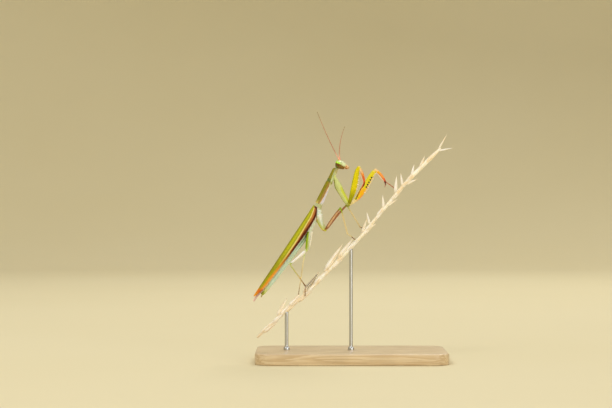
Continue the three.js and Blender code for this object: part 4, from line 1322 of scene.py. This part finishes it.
def rod_shell(x):
    """A rod that stands in a turned collar and rises to the underside of the stalk."""
    shares = np.linspace(0, 1, 400)
    stem = stem_path(shares)
    share = float(np.interp(x, stem[:, 0], shares))
    foot_z = BASE_SIZE[2]
    top = float(np.interp(x, stem[:, 0], stem[:, 2])) - float(stem_radius(share)) + 0.12
    profile = (
        (COLLAR_RADIUS - 0.12, -0.02), (COLLAR_RADIUS, 0.1),
        (COLLAR_RADIUS, 0.75), (COLLAR_RADIUS - 0.1, 0.9),
        (ROD_RADIUS + 0.12, 0.98), (ROD_RADIUS + 0.02, 1.25), (ROD_RADIUS, 1.32),
    )
    rings = [(radius, foot_z + z) for radius, z in profile]
    rings += [(ROD_RADIUS, z) for z in np.linspace(foot_z + 1.6, top - 0.5, 12)]
    rings += [(ROD_RADIUS, top - 0.12), (ROD_RADIUS - 0.1, top)]
    turn = 2 * np.pi * np.arange(48) / 48
    grid = np.array([[(x + r * math.cos(a), r * math.sin(a), z) for a in turn] for r, z in rings])
    shell = Shell()
    shell.grid(grid)
    return shell


# ---- Paints ---------------------------------------------------------------------------------------------


def soft_skin(tints):
    paint = Paint("soft_skin")
    run = paint.plus("run", paint.wander(0.9, 0.08))
    belly = paint.ramp(run, (
        (0, tints.milk), (0.12, tints.sea), (0.5, tints.sea), (0.8, tints.sea), (0.95, tints.pale_green),
        (1, tints.leaf),
    ))
    streak = paint.noise(0.35, stretch=(0.4, 1, 0.4))
    stripe = paint.between(paint.sum("ABSOLUTE", paint.sum("SUBTRACT", "height", 0.3)), 0.16, 0.03)
    front = paint.between("run", 0.22, 0.1)
    stripe = paint.times(paint.times(stripe, front), "behind")
    wave = paint.between(paint.sum("SINE", paint.times("height", 25.0)), 0.1, 0.9)
    wave = paint.times(paint.times(wave, paint.between("run", 0.4, 0.12)), "behind")
    belly = paint.lay(belly, tints.moss, wave, 0.55)
    belly = paint.lay(belly, tints.moss, stripe, 0.6)
    # painted highlight: each segment is lighter along its raised rear rim, so its front, tucked in under
    # the rim of the segment ahead, stays darker
    rim_highlight = paint.times(paint.between("phase", 0.82, 0.97), "behind")
    belly = paint.lay(belly, tints.milk, rim_highlight, 0.45)
    belly = paint.lay(belly, tints.wing_green, paint.between("trunk", 0.4, -0.4), 0.6)
    under = paint.mix(paint.between("ahead", 5.5, 9.0), tints.lilac, tints.face)
    tint = paint.mix(paint.between("ahead", 0.2, 1.6), belly, under)
    tint = paint.lay(tint, tints.wing_green, "knob", 0.9)
    # painted shade: the neck, tucked in between the head and the pronotum, is darkened towards bark brown
    neck = paint.times(paint.between("ahead", 12.0, 13.6), 0.6)
    tint = paint.mix(neck, tint, tints.bark)
    tint = paint.lay(tint, tints.rose, "seam", 0.35)
    tint = paint.lay(tint, tints.bark, "hole", 0.9)
    tint = paint.mottled(paint.lay(tint, tints.leaf, streak, 0.08), 2.2, 0.1)
    return paint.finish(tint, paint.uneven(0.46, 0.25, 1.5), paint.noise(6), 0.03, coat=0.06, glow=0.25)


def shield_paint(tints):
    paint = Paint("pronotum")
    side = paint.plus("across", paint.wander(1.1, 0.3))
    back = paint.ramp("share", (
        (0, tints.wing_cream), (0.14, tints.olive), (0.6, tints.olive), (0.66, tints.moss),
        (0.72, tints.olive), (1, tints.olive),
    ))
    edge = paint.ramp("share", (
        (0, tints.wing_cream), (0.14, tints.rose), (0.45, tints.rose), (0.7, tints.face), (1, tints.face),
    ))
    brown = paint.mix(paint.between("share", 0.55, 0.7), tints.bark, back)
    tint = paint.mix(paint.between(side, 0.6, 0.76), back, brown)
    tint = paint.mix(paint.between(side, 0.88, 1.02), tint, edge)
    tint = paint.lay(tint, tints.bark, "keel", 0.3)
    tint = paint.lay(tint, tints.moss, "groove", 0.5)
    tint = paint.mottled(tint, 3.0, 0.2)
    grain = paint.plus(paint.noise(7), paint.cells(3.2, "F1"))
    return paint.finish(tint, paint.uneven(0.44, 0.25, 2), grain, 0.05, coat=0.1, glow=0.06)


def head_paint(tints):
    paint = Paint("head")
    wander = paint.wander(1.2, 0.5)
    z = paint.plus("z", wander)
    x = paint.plus("x", wander)
    dark = paint.mix(paint.between(z, 0.9, 1.5), tints.cheek, tints.moss)
    green = paint.times(paint.between(z, 0.6, 1.6), paint.between(x, -0.3, 0.3))
    side = paint.mix(green, dark, tints.crown)
    low_face = paint.times(paint.between(z, 0.9, 0.3), 0.65)
    tint = paint.mix(paint.between(paint.plus(x, low_face), 0.25, 0.8), side, tints.face)
    green = paint.times(paint.between(z, 1.5, 2.1), paint.between(x, -0.2, 0.4))
    tint = paint.mix(green, tint, tints.crown)
    low = paint.between("z", -0.9, -1.45)
    tint = paint.mix(low, tint, tints.peach)
    plates = paint.plus("shield", "clypeus")
    tint = paint.lay(tint, tints.white, plates, 0.2)
    tint = paint.lay(tint, tints.leaf, "furrow", 0.55)
    tint = paint.mottled(tint, 3.5, 0.12)
    return paint.finish(tint, paint.uneven(0.38, 0.25, 3), paint.noise(12), 0.02, coat=0.15, glow=0.2)


def eye_paint(tints):
    paint = Paint("compound_eye")
    wander = paint.wander(1.3, 0.14)
    front = paint.times(paint.plus(paint.plus("front", 1.0), wander), 0.5)
    tint = paint.ramp(front, (
        (0, tints.cheek), (0.14, tints.eye_band), (0.42, tints.eye_band), (0.5, tints.cheek),
        (0.56, tints.crown), (0.74, tints.crown), (0.87, tints.face), (1, tints.face),
    ))
    low = paint.between(paint.plus("up", wander), 0.1, -0.4)
    rim = paint.mix(paint.between(front, 0.45, 0.6), tints.cheek, tints.face)
    tint = paint.lay(tint, rim, low, 0.85)
    streak = paint.noise(1.6, stretch=(1, 1, 0.25))
    tint = paint.lay(tint, tints.leaf, streak, 0.2)
    cells = paint.cells(18)
    tint = paint.lay(tint, tints.moss, paint.between(cells, 0.08, 0.0), 0.25)
    return paint.finish(tint, 0.24, cells, 0.006, coat=0.2, glow=0.1)


def ocellus_paint(tints):
    paint = Paint("ocellus")
    tint = paint.ramp(paint.times(paint.plus("front", 1.0), 0.5), (
        (0, tints.bark), (0.55, tints.amber), (1, tints.peach),
    ))
    tint = paint.mottled(tint, 8, 0.15)
    return paint.finish(tint, 0.1, paint.noise(14), 0.004, coat=0.8, glow=0.3)


def mouth_paint(tints):
    paint = Paint("mouthparts")
    depth = paint.plus("x", paint.wander(1.5, 0.5))
    tint = paint.mix(paint.between(depth, -0.15, 0.3), tints.jaw, tints.peach)
    tint = paint.mix(paint.between("z", -2.35, -2.6), tint, tints.jaw)
    tint = paint.lay(tint, tints.peach, "palp", 0.75)
    tint = paint.lay(tint, tints.bark, "lip", 0.5)
    tint = paint.mottled(tint, 4, 0.16)
    return paint.finish(tint, 0.4, paint.noise(12), 0.02, coat=0.12, glow=0.2)


def feeler_paint(tints):
    paint = Paint("feeler")
    tint = paint.ramp("share", (
        (0, tints.pink), (0.12, tints.pink), (0.25, tints.feeler), (0.75, tints.feeler), (1, tints.bark),
    ))
    tint = paint.lay(tint, tints.eye_band, paint.between("link", 0.35, 0.0), 0.5)
    return paint.finish(tint, 0.45, paint.noise(20), 0.01, coat=0.1, glow=0.1)


def wing_paint(tints):
    paint = Paint("fore_wing")
    band = paint.plus("band", paint.wander(1.4, 0.045, stretch=(0.5, 1, 0.5)))
    green = ((0, tints.olive), (0.05, tints.wing_green), (0.18, tints.wing_lime), (0.31, tints.wing_green))
    cream = ((0.42, tints.wing_cream), (0.57, tints.wing_cream))
    root = paint.ramp(band, (
        *green, *cream, (0.66, tints.wing_rust), (0.77, tints.wing_rust), (0.86, tints.wing_maroon),
        (1, tints.wing_maroon),
    ))
    middle = paint.ramp(band, (
        *green, *cream, (0.65, tints.wing_rust), (0.78, tints.wing_maroon), (1, tints.wing_maroon),
    ))
    rear = paint.ramp(band, (
        (0, tints.olive), (0.27, tints.wing_green), (0.8, tints.wing_orange), (1, tints.rose),
    ))
    tip = paint.ramp(band, ((0, tints.wing_orange), (0.4, tints.wing_fire), (1, tints.wing_fire)))
    tint = paint.mix(paint.between("share", 0.14, 0.28), root, middle)
    tint = paint.mix(paint.between("share", 0.42, 0.72), tint, rear)
    tint = paint.mix(paint.between("share", 0.89, 0.93), tint, tip)
    tint = paint.mix(paint.between("share", 0.94, 0.97), tint, tints.wing_orange)
    hinge = paint.times(paint.between("share", 0.025, 0.01), paint.between(band, 0.3, 0.5))
    tint = paint.mix(hinge, tint, tints.wing_maroon)
    # a net of fine veins shows in the cream line, and more faintly everywhere
    net = paint.between(paint.cells(1.5), 0.07, 0.01)
    fine = paint.between(paint.cells(3.4), 0.08, 0.0)
    pale = paint.times(paint.between(band, 0.34, 0.4), paint.between(band, 0.66, 0.6))
    tint = paint.lay(tint, tints.wing_rust, paint.times(net, pale), 0.35)
    tint = paint.lay(tint, tints.moss, fine, 0.12)
    tint = paint.lay(tint, tints.wing_cream, "vein", 0.22)
    tint = paint.mottled(tint, 2.2, 0.12)
    height = paint.plus(paint.between(paint.cells(2.4), 0.1, 0.0), paint.times(paint.noise(8), 0.3))
    return paint.finish(tint, paint.uneven(0.45, 0.2, 1.5), height, 0.02, coat=0.03, glow=0.08, shine=0.15)


def clear_wing_paint(tints):
    paint = Paint("hind_wing")
    tint = paint.ramp("share", ((0, tints.milk), (0.8, tints.peach), (0.93, tints.mauve), (1, tints.mauve)))
    veins = paint.between("pleat", 0.8, 1.0)
    net = paint.between(paint.cells(2.2), 0.08, 0.0)
    tint = paint.lay(tint, tints.bark, veins, 0.5)
    tint = paint.lay(tint, tints.wing_fire, net, 0.3)
    return paint.finish(tint, 0.25, net, 0.015, coat=0.3, glow=0.3)


def cercus_paint(tints):
    paint = Paint("cercus")
    tint = paint.ramp("share", ((0, tints.leaf), (0.6, tints.wing_green), (1, tints.bark)))
    tint = paint.mix(paint.between("link", 0.4, 0.0), tint, tints.bark)
    return paint.finish(paint.mottled(tint, 5, 0.15), 0.45, paint.noise(12), 0.015, coat=0.1, glow=0.1)


LEG_PARTS = 4
# The ends that some of the runs of colour share.
GRASPING_END = (
    (2.08, "peach"), (2.2, "orange"), (2.5, "orange"), (2.7, "red"), (2.85, "maroon"), (3.1, "eye_band"),
    (4, "maroon"),
)
FAR_GRASPING_END = (
    (2.35, "orange"), (2.5, "orange"), (2.68, "red"), (2.8, "maroon"), (3.1, "feeler"), (4, "feeler"),
)
WALKING_END = ((3.45, "tan"), (3.6, "brown"), (4, "brown"))
# The colours along each leg for its back, its flanks and its underside, or fewer where they are alike.
# 0 to 1 is the coxa, 1 to 2 the femur, 2 to 3 the tibia and 3 to 4 the foot.
LEG_TINTS = {
    "fore_right": (
        (
            (0, "milk"), (0.15, "olive"), (0.9, "olive"), (1.05, "olive"), (1.4, "wing_lime"),
            (1.98, "wing_lime"), *GRASPING_END,
        ),
        (
            (0, "pale_green"), (0.9, "pale_green"), (1.02, "olive"), (1.2, "wing_green"), (1.5, "yellow"),
            (1.98, "yellow"), (2.08, "peach"), (2.18, "peach"), (2.35, "orange"), (2.5, "red"),
            (2.72, "red"), (2.85, "maroon"), (3.1, "red"), (3.5, "jaw"), (4, "eye_band"),
        ),
        (
            (0, "pale_green"), (0.3, "pale_green"), (0.5, "lime"), (0.95, "lime"), (1.04, "olive"),
            (1.5, "yellow"), (1.9, "wing_lime"), *GRASPING_END,
        ),
    ),
    "fore_left": (
        (
            (0, "lime"), (0.2, "leaf"), (0.85, "tan"), (1.1, "tan"), (1.2, "wing_lime"), (1.4, "yellow"),
            (1.98, "lime"), (2.12, "amber"), *FAR_GRASPING_END,
        ),
        (
            (0, "lime"), (0.2, "pale_green"), (0.9, "tan"), (1.1, "tan"), (1.2, "yellow"), (1.4, "amber"),
            (1.55, "yellow"), (1.92, "yellow"), (2.02, "peach"), (2.15, "amber"), *FAR_GRASPING_END,
        ),
        (
            (0, "lime"), (0.9, "tan"), (1.1, "tan"), (1.25, "orange"), (1.4, "amber"), (1.9, "yellow"),
            (2.12, "amber"), (2.35, "orange"), (2.6, "red"), (2.8, "maroon"), (3.1, "feeler"),
            (4, "feeler"),
        ),
    ),
    "mid_right": (
        (
            (0, "amber"), (0.2, "amber"), (0.35, "wing_lime"), (0.9, "yellow"), (1.0, "feeler"),
            (1.1, "russet"), (1.85, "russet"), (1.95, "leaf"), (2.08, "leaf"), (2.3, "tan"), *WALKING_END,
        ),
        (
            (0, "milk"), (0.5, "pale_green"), (0.85, "pale_green"), (1.0, "lime"), (1.1, "russet"),
            (1.25, "rose"), (1.8, "rose"), (1.88, "russet"), (1.96, "leaf"), (2.1, "leaf"), (2.3, "tan"),
            *WALKING_END,
        ),
        (
            (0, "white"), (0.5, "milk"), (0.85, "pale_green"), (1.0, "lime"), (1.1, "russet"),
            (1.25, "rose"), (1.88, "rose"), (1.96, "leaf"), (2.2, "tan"), *WALKING_END,
        ),
    ),
    "mid_left": (
        (
            (0, "milk"), (0.9, "pale_green"), (1.1, "russet"), (1.9, "russet"), (2, "leaf"), (2.3, "tan"),
            (2.9, "tan"), (3.1, "brown"), (4, "brown"),
        ),
    ),
    "hind_right": (
        (
            (0, "milk"), (0.85, "pale_green"), (1.05, "pale_green"), (1.2, "white"), (1.85, "white"),
            (1.97, "leaf"), (2.06, "pale_green"), (2.35, "tan"), (3, "brown"), (4, "brown"),
        ),
        (
            (0, "leaf"), (0.85, "leaf"), (1.05, "pale_green"), (1.2, "white"), (1.9, "white"),
            (2, "pale_green"), (2.4, "pale_green"), (2.6, "tan"), (3, "brown"), (4, "brown"),
        ),
    ),
    "hind_left": (
        (
            (0, "white"), (0.7, "white"), (1.05, "milk"), (1.2, "white"), (1.9, "white"), (2, "leaf"),
            (2.1, "pale_green"), (2.4, "tan"), (3, "tan"), (4, "brown"),
        ),
    ),
}


def leg_paint(name, tints):
    paint = Paint(f"leg_{name}")
    wander = paint.wander(1.2, 0.16)
    run = paint.times(paint.plus("run", wander), 1 / LEG_PARTS)
    ramps = []
    for stops in LEG_TINTS[name]:
        ramps.append(paint.ramp(run, [(at / LEG_PARTS, getattr(tints, tint)) for at, tint in stops]))
    rise = paint.plus("rise", paint.times(wander, 1.5))
    tint = ramps[0]
    if len(ramps) > 1:
        edge = (0.0, 0.45) if name.startswith("mid") else (0.6, 0.95)
        lit = paint.times("flank", -1.0) if name == "hind_right" else rise
        tint = paint.mix(paint.between(lit, *edge), ramps[1], ramps[0])
    if len(ramps) > 2:
        tint = paint.mix(paint.between(rise, -0.35, -0.75), tint, ramps[2])
    tint = paint.mottled(tint, 3.2, 0.14)
    if name.startswith("fore"):
        tint = paint.mix(paint.between("dot", 0.15, 0.4), tint, tints.ink)
        tint = paint.mix("spot", tint, tints.ink)
        tint = paint.mix("pupil", tint, tints.white)
        thorny = paint.ramp("tip", (
            (0, tints.amber), (0.15, tints.white), (0.72, tints.peach), (0.86, tints.ink), (1, tints.ink),
        ))
        tint = paint.mix(paint.between("spine", 0.5, 0.9), tint, thorny)
    rough = paint.uneven(0.46, 0.2, 3)
    return paint.finish(tint, rough, paint.noise(9), 0.025, coat=0.05, glow=0.18, shine=0.18)


def grass_paint(tints):
    paint = Paint("dry_grass")
    fibre = paint.noise(0.9, stretch=(0.35, 1.5, 0.35), detail=5)
    tint = paint.mix(paint.between(fibre, 0.35, 0.7), tints.straw, tints.shade)
    tint = paint.lay(tint, tints.straw, "rib", 0.35)
    tint = paint.lay(tint, tints.shade, paint.between("tone", 0.55, 1.0), 0.5)
    tint = paint.lay(tint, tints.white, paint.between("tone", 0.45, 0.0), 0.6)
    tint = paint.lay(tint, tints.bark, paint.between("share", 0.3, 0.0), 0.2)
    # painted shade: the glumes darken along their edges, where they curl back in towards the stalk
    edge = paint.between("over", 0.6, 0.95)
    tint = paint.lay(tint, tints.shade, edge, 0.55)
    tint = paint.lay(tint, tints.white, "pale", 0.75)
    dark = paint.times("husk", paint.between("rib", 0.75, 0.35))
    dark = paint.times(dark, paint.between("share", 0.18, 0.32))
    tint = paint.mix(dark, tint, tints.husk)
    specks = paint.between(paint.noise(4, rough=0.7), 0.66, 0.74)
    tint = paint.lay(tint, tints.bark, specks, 0.5)
    return paint.finish(tint, 0.62, fibre, 0.04, coat=0.05, glow=0.12)


def wood_paint(tints):
    paint = Paint("pale_wood")
    rings = paint.noise(0.16, stretch=(0.08, 1.0, 1.6), detail=3)
    bands = paint.sum("FRACT", paint.times(rings, 9.0))
    line = paint.times(paint.between(bands, 0.0, 0.75), paint.between(bands, 1.0, 0.85))
    pores = paint.between(paint.noise(2.4, stretch=(0.12, 1.4, 1.4)), 0.62, 0.72)
    tint = paint.lay(tints.maple, tints.maple_grain, line, 0.55)
    tint = paint.lay(tint, tints.maple_grain, pores, 0.4)
    tint = paint.lay(tint, tints.maple_grain, paint.between("height", 0.1, 0.0), 0.35)
    tint = paint.mottled(tint, 0.08, 0.08)
    return paint.finish(tint, paint.uneven(0.42, 0.2, 0.6), pores, 0.04, coat=0.25)


def steel_paint(tints):
    paint = Paint("brushed_steel")
    brushed = paint.noise(3, stretch=(1, 1, 0.06), detail=5)
    tint = paint.lay(tints.steel, (0.3, 0.31, 0.33), brushed, 0.25)
    rough = paint.plus(paint.times(brushed, 0.25), 0.2)
    return paint.finish(tint, rough, brushed, 0.01, metal=1.0)


def backdrop_paint(tints):
    paint = Paint("backdrop")
    tint = paint.lay(tints.backdrop, tints.straw, paint.noise(0.004), 0.12)
    return paint.finish(tint, 0.9, paint.noise(0.5), 0.05)


# ---- Operators ------------------------------------------------------------------------------------------

UNDOABLE = {"REGISTER", "UNDO"}


class MANTIS_OT_body(bpy.types.Operator):
    """Makes the soft skin of the neck, thorax and abdomen"""

    bl_idname = "mantis.body"
    bl_label = "Body"
    bl_options = UNDOABLE

    def execute(self, context):
        tints = context.scene.mantis_colours
        make_piece("soft_body", body_shell(), soft_skin(tints), "abdomen", "neck", "thorax", "abdomen")
        return {"FINISHED"}


class MANTIS_OT_pronotum(bpy.types.Operator):
    """Makes the long shield over the front of the body"""

    bl_idname = "mantis.pronotum"
    bl_label = "Pronotum"
    bl_options = UNDOABLE

    def execute(self, context):
        tints = context.scene.mantis_colours
        make_piece("pronotum_shield", shield_shell(), shield_paint(tints), "pronotum", "pronotum")
        return {"FINISHED"}


class MANTIS_OT_cerci(bpy.types.Operator):
    """Makes the pair of ringed tail feelers"""

    bl_idname = "mantis.cerci"
    bl_label = "Cerci"
    bl_options = UNDOABLE

    def execute(self, context):
        tints = context.scene.mantis_colours
        make_pair("tail_feeler", cercus_shell, cercus_paint(tints), "cercus", "cercus")
        return {"FINISHED"}


class MANTIS_OT_head(bpy.types.Operator):
    """Makes the head capsule and its three simple eyes"""

    bl_idname = "mantis.head"
    bl_label = "Head"
    bl_options = UNDOABLE

    def execute(self, context):
        tints = context.scene.mantis_colours
        make_piece("head_shell", head_shell(), head_paint(tints), "head", "head_capsule")
        make_piece("simple_eyes", ocelli_shell(), ocellus_paint(tints), "eye")
        return {"FINISHED"}


class MANTIS_OT_eyes(bpy.types.Operator):
    """Makes the pair of compound eyes"""

    bl_idname = "mantis.eyes"
    bl_label = "Eyes"
    bl_options = UNDOABLE

    def execute(self, context):
        tints = context.scene.mantis_colours
        make_pair("compound_eye", eye_shell, eye_paint(tints), "eye", "eye")
        return {"FINISHED"}


class MANTIS_OT_mouth(bpy.types.Operator):
    """Makes the mouthparts"""

    bl_idname = "mantis.mouth"
    bl_label = "Mouthparts"
    bl_options = UNDOABLE

    def execute(self, context):
        tints = context.scene.mantis_colours
        make_piece("jaws_and_palps", mouth_shell(), mouth_paint(tints), "mouthparts", "mouthparts")
        return {"FINISHED"}


class MANTIS_OT_feelers(bpy.types.Operator):
    """Makes the pair of feelers"""

    bl_idname = "mantis.feelers"
    bl_label = "Feelers"
    bl_options = UNDOABLE

    def execute(self, context):
        sizes = context.scene.mantis_sizes
        tints = context.scene.mantis_colours
        make_pair("feeler", feeler_shell, feeler_paint(tints), "antenna", "antenna", sizes)
        return {"FINISHED"}


class MANTIS_OT_fore_wings(bpy.types.Operator):
    """Makes the pair of leathery fore wings"""

    bl_idname = "mantis.fore_wings"
    bl_label = "Fore Wings"
    bl_options = UNDOABLE

    def execute(self, context):
        sizes = context.scene.mantis_sizes
        tints = context.scene.mantis_colours
        make_pair("tegmen", fore_wing_shell, wing_paint(tints), "forewing", "forewing", sizes)
        return {"FINISHED"}


class MANTIS_OT_hind_wings(bpy.types.Operator):
    """Makes the pair of folded hind wings"""

    bl_idname = "mantis.hind_wings"
    bl_label = "Hind Wings"
    bl_options = UNDOABLE

    def execute(self, context):
        tints = context.scene.mantis_colours
        make_pair("folded_wing", hind_wing_shell, clear_wing_paint(tints), "hindwing", "hindwing")
        return {"FINISHED"}


class MANTIS_OT_legs(bpy.types.Operator):
    """Makes the six legs, each as one skin with its spines, hairs, foot and claws"""

    bl_idname = "mantis.legs"
    bl_label = "Legs"
    bl_options = UNDOABLE

    def execute(self, context):
        sizes = context.scene.mantis_sizes
        tints = context.scene.mantis_colours
        for name in LEGS:
            nodes = [f"leg_{name}_{part}" for part in PARTS]
            slot = kind_of(name) + "_femur"
            make_piece(f"whole_leg_{name}", leg_shell(name, sizes), leg_paint(name, tints), slot, *nodes)
        return {"FINISHED"}


class MANTIS_OT_grass(bpy.types.Operator):
    """Makes the dry grass spike"""

    bl_idname = "mantis.grass"
    bl_label = "Grass Spike"
    bl_options = UNDOABLE

    def execute(self, context):
        sizes = context.scene.mantis_sizes
        tints = context.scene.mantis_colours
        spike, paint = grass_shell(sizes), grass_paint(tints)
        make_piece("dry_spike", spike, paint, "dry_grass", "perch_stem", crease=GRASS_CREASE)
        return {"FINISHED"}


class MANTIS_OT_stand(bpy.types.Operator):
    """Makes the wooden base and the two rods"""

    bl_idname = "mantis.stand"
    bl_label = "Stand"
    bl_options = UNDOABLE

    def execute(self, context):
        tints = context.scene.mantis_colours
        make_piece("wooden_base", base_shell(), wood_paint(tints), "base_wood", "stand_base")
        paint = steel_paint(tints)
        for name, x in ROD_X.items():
            make_piece(f"rod_{name}", rod_shell(x), paint, "rod_steel", f"stand_rod_{name}")
        return {"FINISHED"}


def look_at(thing, place, target):
    thing.location = place
    thing.rotation_euler = (Vector(target) - Vector(place)).to_track_quat("-Z", "Y").to_euler()


class MANTIS_OT_stage(bpy.types.Operator):
    """Sets the camera, the lights and the pale floor that curves up into a backdrop all round"""

    bl_idname = "mantis.stage"
    bl_label = "Stage"
    bl_options = UNDOABLE

    # where each stands in metres, its power in watts and its width in metres
    lamps = {
        "key": ((-0.55, -0.75, 1.0), 6.6, 0.45),
        "fill": ((0.6, -0.85, 0.25), 3.6, 0.5),
        "rim": ((0.3, 0.7, 0.8), 3.9, 0.4),
        "top": ((-0.3, 0.1, 1.1), 1.95, 0.6),
    }

    def execute(self, context):
        scene = context.scene
        shell = Shell()
        turn = (2 * np.pi * np.arange(96) / 96)[None, :]
        rounds = [(r, 0.0) for r in (1, 250, 500, 750, FLOOR_RADIUS)]
        for a in np.linspace(0.05, math.pi / 2, 24):
            rounds.append((FLOOR_RADIUS + SWEEP * math.sin(a), SWEEP - SWEEP * math.cos(a)))
        rounds.append((FLOOR_RADIUS + SWEEP, BACKDROP_TOP))
        radius, height = np.array(rounds).T[:, :, None]
        grid = np.stack([radius * np.cos(turn), radius * np.sin(turn), height + 0 * turn], -1)
        shell.grid(grid, caps=False)
        mesh = shell.mesh("backdrop")
        mesh.polygons.foreach_set("use_smooth", np.ones(len(mesh.polygons), bool))
        mesh.materials.append(backdrop_paint(scene.mantis_colours))
        backdrop = bpy.data.objects.new("backdrop", mesh)
        scene.collection.objects.link(backdrop)
        target = (CAMERA_AIM[0] * MM, 0, CAMERA_AIM[1] * MM)
        for name, (place, power, width) in self.lamps.items():
            lamp = bpy.data.lights.new(name, "AREA")
            lamp.energy = power
            lamp.size = width
            held = bpy.data.objects.new(name, lamp)
            look_at(held, place, target)
            scene.collection.objects.link(held)
        world = bpy.data.worlds.new("soft_sky")
        world.use_nodes = True
        sky = world.node_tree.nodes["Background"].inputs
        sky["Color"].default_value = SKY_TINT
        sky["Strength"].default_value = SKY_STRENGTH
        scene.world = world
        scene.view_settings.view_transform = "Standard"
        eye = bpy.data.cameras.new("camera")
        eye.sensor_width = SENSOR_WIDTH
        eye.lens = eye.sensor_width * CAMERA_DISTANCE / FRAME_WIDTH
        eye.clip_start = 0.01
        eye.clip_end = 10
        camera = bpy.data.objects.new("camera", eye)
        look_at(camera, (target[0], -CAMERA_DISTANCE * MM, target[2]), target)
        scene.collection.objects.link(camera)
        scene.camera = camera
        return {"FINISHED"}


STEPS = (
    MANTIS_OT_stage, MANTIS_OT_body, MANTIS_OT_pronotum, MANTIS_OT_head, MANTIS_OT_eyes, MANTIS_OT_mouth,
    MANTIS_OT_feelers, MANTIS_OT_fore_wings, MANTIS_OT_hind_wings, MANTIS_OT_cerci, MANTIS_OT_legs,
    MANTIS_OT_grass, MANTIS_OT_stand,
)


class MANTIS_PT_panel(bpy.types.Panel):
    """Lists the steps of the making, the sizes and the colours"""

    bl_idname = "MANTIS_PT_panel"
    bl_label = "Mantis on a Grass Spike"
    bl_space_type = "VIEW_3D"
    bl_region_type = "UI"
    bl_category = "Mantis"

    def draw(self, context):
        layout = self.layout
        for step_class in STEPS:
            layout.operator(step_class.bl_idname)
        for group in (context.scene.mantis_sizes, context.scene.mantis_colours):
            box = layout.box()
            for name in group.bl_rna.properties.keys():
                if name not in {"rna_type", "name"}:
                    box.prop(group, name)


CLASSES = (MantisSizes, MantisColours, *STEPS, MANTIS_PT_panel)


def register():
    for each in CLASSES:
        bpy.utils.register_class(each)
    bpy.types.Scene.mantis_sizes = bpy.props.PointerProperty(type=MantisSizes)
    bpy.types.Scene.mantis_colours = bpy.props.PointerProperty(type=MantisColours)


def unregister():
    del bpy.types.Scene.mantis_colours
    del bpy.types.Scene.mantis_sizes
    for each in reversed(CLASSES):
        bpy.utils.unregister_class(each)


def main():
    register()
    for step_class in STEPS:
        operator = getattr(bpy.ops.mantis, step_class.bl_idname.split(".")[1])
        if operator() != {"FINISHED"}:
            raise RuntimeError(f"{step_class.bl_label} could not be made")
    bpy.context.view_layer.update()


if __name__ == "__main__":
    main()
